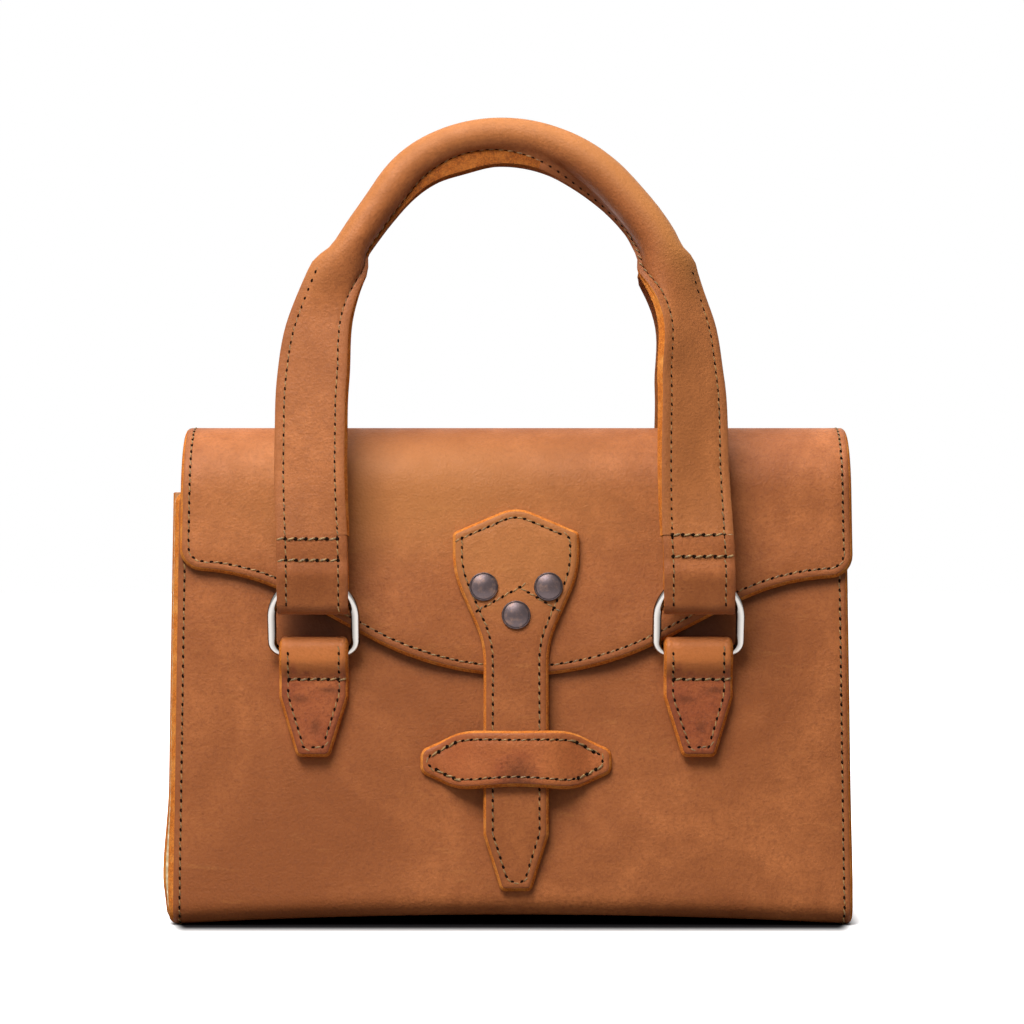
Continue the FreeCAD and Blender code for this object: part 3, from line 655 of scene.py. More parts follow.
def white_paper():
    """Studio floor: white paper with a painted dark shadow round the bag's base, over the rendered shadow,
    that throws back little light.
    """
    material, tree, shader, place = new_material("white_paper")
    fibre = add(tree, "ShaderNodeTexNoise", inputs={"Vector": place, "Scale": per_metre(4), "Detail": 2.0})
    tint = add(tree, "ShaderNodeMix", {"data_type": "RGBA"}, {
        0: fibre.outputs["Fac"], 6: opaque(linear("#fafafa")), 7: opaque(linear("#ffffff"))})
    size = add(tree, "ShaderNodeVectorMath", {"operation": "ABSOLUTE"}, {0: place})
    past = add(tree, "ShaderNodeVectorMath", {"operation": "SUBTRACT"}, {
        0: size.outputs[0], 1: ((BODY_HALF - 9.0) * MM, BASE_FLAT_HALF * MM, 1.0)})
    clear = add(tree, "ShaderNodeVectorMath", {"operation": "MAXIMUM"}, {
        0: past.outputs[0], 1: (0.0, 0.0, 0.0)})
    ends = add(tree, "ShaderNodeVectorMath", {"operation": "MULTIPLY"}, {
        0: clear.outputs[0], 1: (5.0, 1.0, 1.0)})
    away = add(tree, "ShaderNodeVectorMath", {"operation": "LENGTH"}, {0: ends.outputs[0]})
    # Painted shadow: the paper turns near black close to the bag's base
    shade = add(tree, "ShaderNodeMapRange", {"interpolation_type": "SMOOTHSTEP"}, {
        "Value": away.outputs["Value"], "From Min": SHADOW_REACH[0], "From Max": SHADOW_REACH[1]})
    shaded = add(tree, "ShaderNodeMix", {"data_type": "RGBA"}, {
        0: shade.outputs[0], 6: opaque(linear("#1c1b1c")), 7: tint.outputs[2]})
    seen = seen_directly(tree)
    thrown = add(tree, "ShaderNodeMix", {"data_type": "RGBA"}, {
        0: seen, 6: opaque(linear("#75726f")), 7: shaded.outputs[2]})
    far = add(tree, "ShaderNodeMapRange", {"interpolation_type": "SMOOTHSTEP"}, {
        "Value": away.outputs["Value"], "From Min": GLOW_REACH[0], "From Max": GLOW_REACH[1]})
    glow = add(tree, "ShaderNodeMath", {"operation": "MULTIPLY"}, {0: seen, 1: far.outputs[0]})
    feed(tree, shader, {"Base Color": thrown.outputs[2], "Emission Strength": glow.outputs[0],
                        "Emission Color": opaque(linear("#ffffff")), "Roughness": 1.0,
                        "Specular IOR Level": 0.0})
    return material


def seen_directly(tree):
    """1 for rays that show the stage to the camera, in a mirror or through glass, else 0."""
    ray = add(tree, "ShaderNodeLightPath")
    seen = add(tree, "ShaderNodeMath", {"operation": "MAXIMUM"}, {
        0: ray.outputs["Is Camera Ray"], 1: ray.outputs["Is Glossy Ray"]})
    clear = add(tree, "ShaderNodeMath", {"operation": "MAXIMUM"}, {
        0: seen.outputs[0], 1: ray.outputs["Is Transmission Ray"]})
    return clear.outputs[0]


# Meshes


def smoothstep(low, high, value):
    share = np.clip((np.asarray(value, float) - low) / (high - low), 0.0, 1.0)
    return share * share * (3.0 - 2.0 * share)


def unit(vectors):
    return vectors / np.linalg.norm(vectors, axis=-1, keepdims=True)


def new_object(name, mesh):
    thing = bpy.data.objects.new(name, mesh)
    bpy.context.scene.collection.objects.link(thing)
    return thing


def make_piece(name, points, faces, face_slots, materials, fields=None, crease=38.0):
    """Object from points in millimetres: welded, facing outwards, smooth but for its creases."""
    mesh = bpy.data.meshes.new(name)
    mesh.from_pydata((np.asarray(points) * MM).tolist(), [], faces)
    mesh.polygons.foreach_set("material_index", face_slots)
    for field, values in (fields or {}).items():
        mesh.attributes.new(field, "FLOAT", "POINT").data.foreach_set("value", np.asarray(values, np.float32))
    shell = bmesh.new()
    shell.from_mesh(mesh)
    bmesh.ops.remove_doubles(shell, verts=shell.verts, dist=0.002 * MM)
    bmesh.ops.dissolve_degenerate(shell, edges=shell.edges, dist=0.001 * MM)
    bmesh.ops.recalc_face_normals(shell, faces=shell.faces)
    shell.to_mesh(mesh)
    shell.free()
    mesh.shade_smooth()
    mesh.set_sharp_from_angle(angle=math.radians(crease))
    for material in materials:
        mesh.materials.append(material)
    return new_object(name, mesh)


def straight(start, end, step=4.0):
    """Points along a straight run, with its start and without its end."""
    start, end = np.array(start, float), np.array(end, float)
    count = max(1, math.ceil(np.linalg.norm(end - start) / step))
    return [start + (end - start) * i / count for i in range(count)]


def bend(centre, radius, first, last, count):
    """Points round an arc between two angles in radians, with its start and without its end."""
    turns = [first + (last - first) * i / count for i in range(count)]
    return [np.array(centre) + radius * np.array((math.cos(turn), math.sin(turn))) for turn in turns]


class Line:
    """A line in depth and height, measured by its length, with unit vectors off one side of it."""

    def __init__(self, points, side):
        self.points = np.array(points, float)
        steps = np.linalg.norm(np.diff(self.points, axis=0), axis=1)
        self.stops = np.concatenate([[0.0], np.cumsum(steps)])
        self.along = unit(np.gradient(self.points, self.stops, axis=0))
        self.off = side * np.column_stack([-self.along[:, 1], self.along[:, 0]])
        self.length = self.stops[-1]

    def read(self, field, distance):
        return np.column_stack([np.interp(distance, self.stops, field[:, axis]) for axis in (0, 1)])

    def at(self, distance, height):
        """Points at distances along the line and heights off it; past its ends it runs straight on."""
        inside = np.clip(distance, 0.0, self.length)
        beyond = np.asarray(distance - inside)[:, None] * self.read(self.along, inside)
        off = unit(self.read(self.off, inside))
        return self.read(self.points, inside) + beyond + off * np.asarray(height)[:, None]


class Cut:
    """Outline of a flat piece: corners (across, along, radius), listed anticlockwise."""

    def __init__(self, corners):
        area = sum(a[0] * b[1] - b[0] * a[1] for a, b in zip(corners, corners[1:] + corners[:1]))
        ordered = corners if area > 0 else corners[::-1]
        self.spots = np.array([corner[:2] for corner in ordered], float)
        self.radii = np.array([corner[2] for corner in ordered], float)
        self.ahead = unit(np.roll(self.spots, -1, axis=0) - self.spots)
        before = np.roll(self.ahead, 1, axis=0)
        self.turns = before[:, 0] * self.ahead[:, 1] - before[:, 1] * self.ahead[:, 0]

    def inset(self, distance):
        """The same outline moved in from its edge."""
        inward = np.column_stack([-self.ahead[:, 1], self.ahead[:, 0]])
        before = np.roll(inward, 1, axis=0)
        shift = distance * (before + inward) / (1.0 + np.sum(before * inward, axis=1))[:, None]
        radii = np.where(self.turns > 0, np.maximum(self.radii - distance, 0.0), self.radii + distance)
        return Cut([(x, y, radius) for (x, y), radius in zip(self.spots + shift, radii)])

    def points(self, step):
        """Points round the outline, its corners rounded as far as its sides leave room."""
        back = -np.roll(self.ahead, 1, axis=0)
        half = np.arccos(np.clip(np.sum(back * self.ahead, axis=1), -1.0, 1.0)) / 2
        reach = self.radii / np.tan(half)
        side = np.linalg.norm(np.roll(self.spots, -1, axis=0) - self.spots, axis=1)
        room = side / np.maximum(reach + np.roll(reach, -1), side)
        reach = reach * np.minimum(room, np.roll(room, 1))
        points = []
        for i, spot in enumerate(self.spots):
            radius = reach[i] * math.tan(half[i])
            if radius < 0.05:
                points.append(spot)
            else:
                centre = spot + unit(back[i] + self.ahead[i]) * radius / math.sin(half[i])
                arm = spot + back[i] * reach[i] - centre
                sweep = math.copysign(math.pi - 2 * half[i], self.turns[i])
                count = max(2, math.ceil(abs(sweep) * radius / min(step, max(0.5, radius / 4))))
                for turn in np.linspace(0.0, sweep, count + 1):
                    spun = (arm[0] * math.cos(turn) - arm[1] * math.sin(turn),
                            arm[0] * math.sin(turn) + arm[1] * math.cos(turn))
                    points.append(centre + np.array(spun))
            following = (i + 1) % len(self.spots)
            stop = self.spots[following] - self.ahead[i] * reach[following]
            points += straight(points[-1], stop, step)[1:]
        kept = [p for i, p in enumerate(points) if np.linalg.norm(p - points[i - 1]) > 1e-4]
        return np.array(kept)


def mirrored(half):
    """Closed outline from its right half, listed from the top down."""
    return list(half) + [(-x, y, radius) for x, y, radius in reversed(half) if x > 0]


def edge_distance(points, loop):
    """Distance of flat points from a closed outline."""
    along = np.roll(loop, -1, axis=0) - loop
    nearest = np.full(len(points), np.inf)
    for spot, side in zip(loop, along):
        reach = np.clip(((points - spot) @ side) / (side @ side), 0.0, 1.0)
        gap = points - spot - reach[:, None] * side
        nearest = np.minimum(nearest, np.hypot(gap[:, 0], gap[:, 1]))
    return nearest


def inside(points, loop):
    """Whether flat points lie inside a closed outline."""
    found = np.zeros(len(points), bool)
    for a, b in zip(loop, np.roll(loop, -1, axis=0)):
        if a[1] == b[1]:
            continue
        crosses = (a[1] > points[:, 1]) != (b[1] > points[:, 1])
        found ^= crosses & (points[:, 0] < a[0] + (points[:, 1] - a[1]) * (b[0] - a[0]) / (b[1] - a[1]))
    return found


def flat_piece(cut, rings, step):
    """Points, triangles and outer loop of a flat piece, with rings of points in from its edge."""
    spots = []
    sides = []
    for distance in (0.0,) + tuple(rings):
        ring = cut.inset(distance).points(step)
        first = len(spots)
        spots += list(ring)
        sides += [(first + i, first + (i + 1) % len(ring)) for i in range(len(ring))]
    low, high = ring.min(axis=0), ring.max(axis=0)
    rows = np.arange(low[1], high[1], step * 0.87)
    grid = [(x + step / 2 * (i % 2), y) for i, y in enumerate(rows) for x in np.arange(low[0], high[0], step)]
    grid = np.array(grid)
    grid = grid[inside(grid, ring)]
    grid = grid[edge_distance(grid, ring) > step * 0.55]
    spots += list(grid)
    made = delaunay_2d_cdt([tuple(map(float, spot)) for spot in spots], sides, [], 1, 1e-5)
    flat = np.array([tuple(spot) for spot in made[0]])
    triangles = [tuple(face) for face in made[2]]
    return flat, triangles, outer_loop(triangles)


def outer_loop(triangles):
    """Corners round the outside of a flat piece, in order."""
    sides = {(a, b) for face in triangles for a, b in zip(face, face[1:] + face[:1])}
    following = {a: b for a, b in sides if (b, a) not in sides}
    start = min(following)
    loop = [start]
    while following[loop[-1]] != start:
        loop.append(following[loop[-1]])
    return loop


def edge_rub(gap):
    """Wear at a distance in from an edge."""
    return np.exp(-gap / WEAR_REACH)


def sheet(name, cut, place, low, high, materials, seam=0.0, step=5.0, stain_and_shade=None):
    """Closed piece of leather between two heights: grain side, raw edge that slants out, and flesh side.

    Its marks function gives dark marks above 0, real stains and painted shade, and pale ones below 0, fading
    and painted highlights.
    """
    flare = sizes().edge_flare / MM
    rings = RING_STEPS
    if seam:
        rings += (seam - flare - SEAM_SHOULDER, seam - flare, seam - flare + SEAM_SHOULDER)
    flat, triangles, loop = flat_piece(cut.inset(flare), rings, step)
    count = len(flat)
    gap = edge_distance(flat, flat[loop])
    drop = EDGE_ROUND * (1.0 - smoothstep(0.0, RING_STEPS[1], gap)) ** 1.5
    if seam:
        drop = drop + SEAM_DENT * np.exp(-(((gap + flare - seam) / DENT_REACH) ** 2))
    rim = flat[loop]
    along = np.roll(rim, -1, axis=0) - np.roll(rim, 1, axis=0)
    outward = unit(np.column_stack([along[:, 1], -along[:, 0]]))
    under = flat.copy()
    under[loop] += outward * flare
    middle = rim + outward * (flare * 0.55 + 0.08)
    points = np.vstack([
        place(flat[:, 0], flat[:, 1], high - drop),
        place(under[:, 0], under[:, 1], np.full(count, low)),
        place(middle[:, 0], middle[:, 1], np.full(len(loop), (low + high) / 2)),
    ])
    faces = list(triangles) + [tuple(count + corner for corner in face[::-1]) for face in triangles]
    face_slots = [0] * len(triangles) + [2] * len(triangles)
    for i in range(len(loop)):
        j = (i + 1) % len(loop)
        faces.append((loop[j], loop[i], 2 * count + i, 2 * count + j))
        faces.append((2 * count + j, 2 * count + i, count + loop[i], count + loop[j]))
        face_slots += [1, 1]
    blank = np.zeros(count + len(loop))
    marks = stain_and_shade(flat) if stain_and_shade else np.zeros(count)
    fields = {
        "wear": np.concatenate([edge_rub(gap), blank]),
        "stain_and_shade": np.concatenate([np.maximum(marks, 0.0), blank]),
        "fade_and_highlight": np.concatenate([np.maximum(-marks, 0.0), blank]),
    }
    return make_piece(name, points, faces, face_slots, materials, fields)


def seam_run(path, place, height):
    """A seam on a placed piece: its points, and the way that its stitches face."""
    path = np.asarray(path, float)
    level = np.full(len(path), height)
    points = place(path[:, 0], path[:, 1], level)
    above = place(path[:, 0], path[:, 1], level + 1.0)
    return points, unit(above - points)


def stretches(path, keep):
    """Runs of a closed path where its points are kept."""
    kept = keep(path[:, 0], path[:, 1])
    if kept.all():
        return [np.vstack([path, path[:1]])]
    first = int(np.argmin(kept))
    path, kept = np.roll(path, -first, axis=0), np.roll(kept, -first)
    ends = np.flatnonzero(kept[1:] != kept[:-1]) + 1
    runs = zip(np.split(path, ends), np.split(kept, ends))
    return [run for run, wanted in runs if wanted[0] and len(run) > 2]


def sew(store, piece, runs):
    store.setdefault(piece, []).extend(runs)


def hem(store, piece, cut, place, height, keep=None):
    """Leave a seam along a piece's edge for the stitching."""
    path = cut.inset(SEAM_INSET).points(SEAM_STEP)
    wanted = keep or (lambda across, along: np.ones(len(across), bool))
    sew(store, piece, [seam_run(run, place, height) for run in stretches(path, wanted)])


# Places on the body


def along_panel(height):
    """Distance up the front panel from its shoulder, for a height above the base."""
    return (height - SHOULDER_HEIGHT) / math.cos(PANEL_LEAN)


def near_legs(x, half):
    """1 at the two legs of the handles, and 0 well past a half width from them."""
    return sum(np.exp(-(((x - middle) / half) ** 4)) for middle in LEG_MIDDLES)


def rest_panels(points):
    """Let the panels wave a little, as soft leather does, but not where the ring tabs stiffen them."""
    x, y, z = points.T
    wave = np.sin(x / LONG_WAVE[0] + LONG_WAVE_START[0]) * np.cos(z / LONG_WAVE[1] + LONG_WAVE_START[1])
    wave = wave + SHORT_WAVE_SHARE * np.sin(x / SHORT_WAVE[0] - z / SHORT_WAVE[1])
    depth = sizes().panel_wave / MM * wave * smoothstep(*WAVE_IN, z) * np.clip(y / SHOULDER_HALF, -1.0, 1.0)
    stiff = near_legs(x, TAB_HOLD[0])
    stiff = stiff * np.exp(-(((z - TAB_BAR_HEIGHT + TAB_HOLD_DROP) / TAB_HOLD[1]) ** 4))
    return np.column_stack([x, y + depth * (1.0 - stiff), z])


def rest_base(points):
    """Let the base arch up in its middle, between its two stiff ends."""
    x, y, z = points.T
    arch = 1.0 - np.clip(x / BODY_HALF, -1.0, 1.0) ** 2
    lift = sizes().base_bow / MM * arch * (1.0 - smoothstep(*BASE_BOW_END, z))
    return np.column_stack([x, y, z + lift])


def splay(points, depth):
    """Spread the cut edges of the layers outwards, most near the base and on the left."""
    x, y, z = points.T
    swell = smoothstep(*SPLAY_IN, z) * (1.0 - smoothstep(*SPLAY_END, z))
    left = SPLAY_LEFT[0] + SPLAY_LEFT[1] * swell
    right = SPLAY_RIGHT * swell
    past_cloth = smoothstep(WRAP_LEATHER, WRAP_LEATHER + LINING_CLOTH, depth)
    parted = np.maximum(depth, 0.0) + SPLAY_CLOTH * swell * past_cloth
    rim = smoothstep(BODY_HALF - SPLAY_RIM, BODY_HALF, np.abs(x))
    spread = np.where(x < 0, left, right) * rim
    return np.column_stack([x + np.sign(x) * (spread * parted - SIDE_INSET * rim), y, z])


def trough_line():
    """Outer face of the wrap, from the front shoulder round the base to the back one."""
    drop = BASE_FOLD - SHOULDER_HEIGHT
    middle = -SHOULDER_HALF - (BASE_FOLD + drop * PANEL_OUT[1]) / PANEL_OUT[0]
    front = np.array((middle, BASE_FOLD))
    back = np.array((-middle, BASE_FOLD))
    first = math.pi - PANEL_LEAN
    down = 1.5 * math.pi
    last = 2 * math.pi + PANEL_LEAN
    points = straight((-SHOULDER_HALF, SHOULDER_HEIGHT), front + PANEL_OUT * BASE_FOLD)
    points += bend(front, BASE_FOLD, first, down, 12)
    points += straight((middle, 0.0), (-middle, 0.0))
    points += bend(back, BASE_FOLD, down, last, 12)
    points += straight(back + PANEL_OUT * BASE_FOLD * (-1, 1), (SHOULDER_HALF, SHOULDER_HEIGHT))
    return Line(points + [np.array((SHOULDER_HALF, SHOULDER_HEIGHT))], -1)


TROUGH = trough_line()


def on_trough(x, along, height):
    """Place on the wrap: height is 0 at its outer face and negative inwards."""
    spot = TROUGH.at(along, height)
    return rest_base(rest_panels(splay(np.column_stack([x, spot]), -height)))


def flap_line():
    """Outer face of the body under the flap: up the front, over the roof and down to the sewn strip's end."""
    start = (-SHOULDER_HALF + PANEL_UP[0] * along_panel(FLAP_LOW), FLAP_LOW)
    shoulder = (-SHOULDER_HALF, SHOULDER_HEIGHT)
    end_up = along_panel(HINGE_HEIGHT) - ANCHOR_DROP
    end = (SHOULDER_HALF - PANEL_UP[0] * end_up, SHOULDER_HEIGHT + PANEL_UP[1] * end_up)
    points = straight(start, shoulder)
    points += bend((0.0, ROOF_HEIGHT), ROOF_RADIUS, math.pi - PANEL_LEAN, PANEL_LEAN, 40)
    points += straight((SHOULDER_HALF, SHOULDER_HEIGHT), end)
    return Line(points + [np.array(end)], 1)


FLAP_PATH = flap_line()


def on_flap(x, along, height):
    """Place on the flap: its free edge lifts a little, and its sewn strip lies close on the back."""
    sewn = smoothstep(FLAP_PATH.length - ANCHOR_DROP - 6.0, FLAP_PATH.length - ANCHOR_DROP, along)
    free = smoothstep(*FLAP_FREE, np.abs(x - FLAP_MIDDLE)) * (1.0 - smoothstep(0.0, FLAP_LIFT, along))
    lift = FLAP_GAP * (1.0 - sewn) + sizes().flap_curl / MM * free
    spot = FLAP_PATH.at(along, height + lift)
    return rest_panels(np.column_stack([x, spot]))


def on_panel(x, up, out):
    """Place on the front panel: distance up it from the shoulder, and out from it."""
    out = np.asarray(out)[:, None]
    up = np.asarray(up)[:, None]
    spot = np.array((-SHOULDER_HALF, SHOULDER_HEIGHT)) + PANEL_OUT * out + PANEL_UP * up
    return np.column_stack([x, spot])


def finish_piece(piece, body, slot, *nodes):
    """Say which body a piece moves with and which solids it stands for; its slot is not used."""
    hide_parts(*nodes)
    if body:
        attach(piece, body)


def across_hinge(piece):
    """Bake the transform of a piece of the flap into its mesh."""
    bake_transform(piece)


# Pieces


def body_pieces():
    """Wrap, lining and gussets."""
    hides = hide(tan_leather())
    cloth = [lining_cotton()] * 3
    end = TROUGH.length
    corners = [(-BODY_HALF, 0.0, PANEL_CORNER), (BODY_HALF, 0.0, PANEL_CORNER),
               (BODY_HALF, end, PANEL_CORNER), (-BODY_HALF, end, PANEL_CORNER)]
    cut = Cut(corners)
    wrap = sheet("body_leather", cut, on_trough, -WRAP_LEATHER, 0.0, hides, seam=SEAM_INSET, step=3.0,
                 stain_and_shade=wrap_shade_and_rubs)
    finish_piece(wrap, "bag", "tan_leather", "body_wrap")
    side_seam = BODY_HALF - SEAM_INSET - 1.0
    hem(seams, "bag", cut, on_trough, -SEAM_DENT / 2,
        keep=lambda x, along: (np.abs(x) > side_seam) & (along > 6.0) & (along < end - 6.0))
    inner = -WRAP_LEATHER - LINING_CLOTH
    lining = sheet("body_lining_cloth", cut.inset(CUT_BACK["body"]), on_trough, inner,
                   -WRAP_LEATHER - CLOTH_GAP, cloth)
    finish_piece(lining, "bag", "lining", "body_lining")
    for side, sign in (("left", -1.0), ("right", 1.0)):
        wall = gusset(side + "_gusset_leather", sign, hides)
        finish_piece(wall, "bag", "tan_leather", side + "_gusset")
        backing = gusset_lining(side + "_gusset_cloth", sign, cloth)
        finish_piece(backing, "bag", "lining", side + "_gusset_lining")


def wrap_shade_and_rubs(flat):
    """Painted shade on both panels in the rings' openings under the handle loops, and a painted shadow on the
    front one just under the flap's edge; both stand also for rubs there.
    """
    x, along = flat.T
    slope = math.cos(PANEL_LEAN)
    up = SHOULDER_HEIGHT - slope * np.minimum(along, TROUGH.length - along)
    # Painted shade in the ring openings, where the loops above shade the panel
    height = np.exp(-(((up - TAB_BAR_HEIGHT - RING_LEG + 2.0) / 12.0) ** 4))
    rings = RING_SHADE_AND_RUB * height * near_legs(x, RING_SHADE_AND_RUB_HALF)
    edge = flap_cut().points(3.0)
    edge = edge[(edge[:, 1] < FLAP_PATH.length / 3) & (np.abs(edge[:, 0] - FLAP_MIDDLE) < FLAP_HALF)]
    edge = edge[np.argsort(edge[:, 0])]
    # Painted shadow on the front panel just under the flap's edge
    below = FLAP_LOW + slope * np.interp(x, edge[:, 0], edge[:, 1]) - up
    rim = FLAP_EDGE_SHADOW_AND_RUB * np.exp(-(((below - 1.0) / 4.0) ** 2)) * (along < TROUGH.length / 2)
    return np.maximum(rings, rim)


def gusset_rows(sign, rows):
    """Points of a gusset's face: rows of (across, height) on the trough, then rows drawn in to its spine."""
    stations = TROUGH.stops
    made = [on_trough(np.full(len(stations), sign * across), stations, np.full(len(stations), height))
            for across, height in rows]
    rim = made[-1]
    spine = np.column_stack([rim[:, 0], np.zeros(len(rim)), np.maximum(rim[:, 2], GUSSET_SPINE_FOOT)])
    high = smoothstep(GUSSET_DISH_FOOT, SHOULDER_HEIGHT, rim[:, 2])
    dish = GUSSET_DISH * (GUSSET_DISH_LOW + (1.0 - GUSSET_DISH_LOW) * high)
    sag = GUSSET_DISH * smoothstep(SHOULDER_HEIGHT - GUSSET_SAG, SHOULDER_HEIGHT, rim[:, 2])
    for share in GUSSET_SHARES:
        row = rim + (spine - rim) * share
        fold = smoothstep(0.0, 1.0, share)
        row[:, 0] -= sign * fold * dish
        row[:, 2] -= fold * sag
        made.append(row)
    return np.array(made)


def shell(name, faces_in, faces_out, materials):
    """Closed thin piece between two grids of points, whose rim takes the second material."""
    rows, count = faces_in.shape[:2]
    points = np.vstack([faces_in.reshape(-1, 3), faces_out.reshape(-1, 3)])
    far = rows * count

    def spot(row, column, layer=0):
        return layer * far + row * count + column

    faces = []
    face_slots = []
    for row in range(rows - 1):
        for column in range(count - 1):
            quad = (spot(row, column), spot(row, column + 1),
                    spot(row + 1, column + 1), spot(row + 1, column))
            faces += [quad, tuple(far + corner for corner in quad[::-1])]
            face_slots += [2, 0]
    border = [((0, c), (0, c + 1)) for c in range(count - 1)]
    border += [((r, 0), (r + 1, 0)) for r in range(rows - 1)]
    border += [((r, count - 1), (r + 1, count - 1)) for r in range(rows - 1)]
    for a, b in border:
        faces.append((spot(*a), spot(*b), spot(*b, layer=1), spot(*a, layer=1)))
        face_slots.append(1)
    return make_piece(name, points, faces, face_slots, materials)


def gusset(name, sign, materials):
    """End panel set in from the edge, with a flange turned out along the front, base and back."""
    face = -WRAP_LEATHER - LINING_CLOTH
    wall = BODY_HALF - GUSSET_FLANGE - GUSSET_LEATHER
    pivot = (wall + GUSSET_FOLD, face - GUSSET_FOLD)
    rows_in = []
    rows_out = []
    for across in np.linspace(BODY_HALF - 0.3, wall + GUSSET_FOLD, 5):
        rows_in.append((across, face))
        rows_out.append((across, face - GUSSET_LEATHER))
    for turn in np.linspace(0.0, math.pi / 2, 5)[1:]:
        for rows, radius in ((rows_in, GUSSET_FOLD), (rows_out, GUSSET_FOLD - GUSSET_LEATHER)):
            rows.append((pivot[0] - radius * math.sin(turn), pivot[1] + radius * math.cos(turn)))
    return shell(name, gusset_rows(sign, rows_in), gusset_rows(sign, rows_out), materials)


def gusset_lining(name, sign, materials):
    """Cloth on the inner face of a gusset."""
    wall = BODY_HALF - GUSSET_FLANGE - GUSSET_LEATHER
    height = -WRAP_LEATHER - LINING_CLOTH - GUSSET_FOLD
    layers = [gusset_rows(sign, [(wall - inwards, height)]) for inwards in (LINING_CLOTH, CLOTH_GAP)]
    return shell(name, *layers, materials)


def flap_cut():
    """Outline of the flap laid flat, from its ogee front edge to its sewn strip; its right is cut lower."""
    slope = math.cos(PANEL_LEAN)
    corners = []
    for sign, drop in ((1.0, FLAP_RIGHT_DROP), (-1.0, (0.0, 0.0))):
        half = [
            (FLAP_HALF + FLAP_OVERHANG, FLAP_PATH.length, 2.0),
            (FLAP_HALF + FLAP_OVERHANG, (FLAP_SIDE - drop[0] - FLAP_LOW) / slope, FLAP_CORNER),
            (FLAP_WAIST_HALF, (FLAP_WAIST - drop[1] - FLAP_LOW) / slope, FLAP_WAIST_RADIUS),
            (FLAP_LOW_HALF, 0.0, FLAP_LOW_RADIUS),
        ]
        side = [(sign * x + FLAP_MIDDLE, along, radius) for x, along, radius in half]
        corners += side if sign > 0 else side[::-1]
    return Cut(corners)


def flap_fade_and_highlight(flat):
    """Painted highlight where the overhead light falls on the flap's upper front and shoulder, most in its
    middle and on its left, standing also for pale pull-up wax.
    """
    x, along = flat.T
    across = np.exp(-(((x - FLAP_HIGHLIGHT_MIDDLE) / FLAP_HIGHLIGHT_HALF) ** 2))
    front = smoothstep(*FLAP_HIGHLIGHT_IN, along) * (1.0 - smoothstep(*FLAP_HIGHLIGHT_END, along))
    return -FLAP_HIGHLIGHT * across * front


def flap_pieces():
    """Flap leather and lining, each in one piece with the strip that is sewn to the back."""
    cut = flap_cut()
    outer = sheet("flap_leather", cut, on_flap, FLAP_CLOTH, FLAP_CLOTH + FLAP_LEATHER,
                  hide(tan_leather()), seam=SEAM_INSET, stain_and_shade=flap_fade_and_highlight)
    finish_piece(outer, None, "tan_leather", "flap_outer", "flap_anchor")
    across_hinge(outer)
    inner = sheet("flap_lining_cloth", cut.inset(CUT_BACK["flap"]), on_flap, FLAP_CLOTH_GAP,
                  FLAP_CLOTH - LAYER_GAP, [lining_cotton()] * 3)
    finish_piece(inner, None, "lining", "flap_lining")
    across_hinge(inner)
    deep = FLAP_PATH.length
    float(edge_area(cut)) * MM * MM
    top = FLAP_CLOTH + FLAP_LEATHER - SEAM_DENT / 2
    hem(seams, "flap", cut, on_flap, top, keep=lambda x, along: along < deep - 5.0)
    for drop in ANCHOR_SEAMS:
        along = deep - ANCHOR_DROP + drop
        row = [(x, along) for x in np.arange(-FLAP_HALF + 4.5, FLAP_HALF - 4.0, 2.0) + FLAP_MIDDLE]
        sew(seams, "flap", [seam_run(row, on_flap, top)])


def edge_area(cut):
    """Flat area inside an outline."""
    points = cut.points(2.0)
    following = np.roll(points, -1, axis=0)
    return abs(np.sum(points[:, 0] * following[:, 1] - following[:, 0] * points[:, 1])) / 2


def on_closure(x, up, out):
    """Place on the closure strap: its tongue dips towards the panel below the keeper."""
    height = SHOULDER_HEIGHT + np.asarray(up) * math.cos(PANEL_LEAN)
    dip = TONGUE_DIP * (1.0 - smoothstep(*TONGUE_BEND, height))
    return rest_panels(on_panel(x, up, out - dip))


def closure_fade_and_highlight(flat):
    """Paler towards the top of the strap's head: a painted highlight from the overhead light, standing also
    for the fading of a handled head.
    """
    return -CLOSURE_HIGHLIGHT * smoothstep(along_panel(120.0), along_panel(160.0), flat[:, 1])


def closure_pieces():
    """Closure strap, its backing and the rivets of its head."""
    half = [(x, along_panel(height), radius) for x, height, radius in CLOSURE_HALF]
    cut = Cut([(x + FLAP_MIDDLE, up, radius) for x, up, radius in mirrored(half)])
    inner = FLAP_OUT + CLOSURE_BACKING
    strap = sheet("closure_strap_leather", cut, on_closure, inner, CLOSURE_OUT,
                  hide(tan_leather()), seam=SEAM_INSET, step=4.0,
                  stain_and_shade=closure_fade_and_highlight)
    finish_piece(strap, "flap", "tan_leather", "closure_strap")
    backing = sheet("closure_strap_suede", cut.inset(CUT_BACK["closure"]), on_closure, FLAP_OUT,
                    inner - LAYER_GAP, hide(flesh_side()), step=5.0)
    finish_piece(backing, "flap", "suede_backing", "closure_strap_backing")
    top = CLOSURE_OUT - SEAM_DENT / 2
    hem(seams, "closure", cut, on_closure, top)
    vee = [(x, along_panel(height)) for x, height in CLOSURE_VEE]
    for corners in zip(vee, vee[1:]):
        row = np.array(straight(*corners, step=SEAM_STEP) + [np.array(corners[1])]) + (FLAP_MIDDLE, 0.0)
        sew(seams, "closure", [seam_run(row, on_closure, top + SEAM_DENT / 2)])
    spots = np.array([(x + FLAP_MIDDLE, along_panel(height)) for x, height in RIVET_SPOTS])
    seats, facing = seam_run(spots, on_closure, CLOSURE_OUT)
    rivets = rivet_caps(seats, facing)
    finish_piece(rivets, "flap", "antique_metal", "closure_rivets")
    paint_node("closure_rivet_backs", antique_plating())


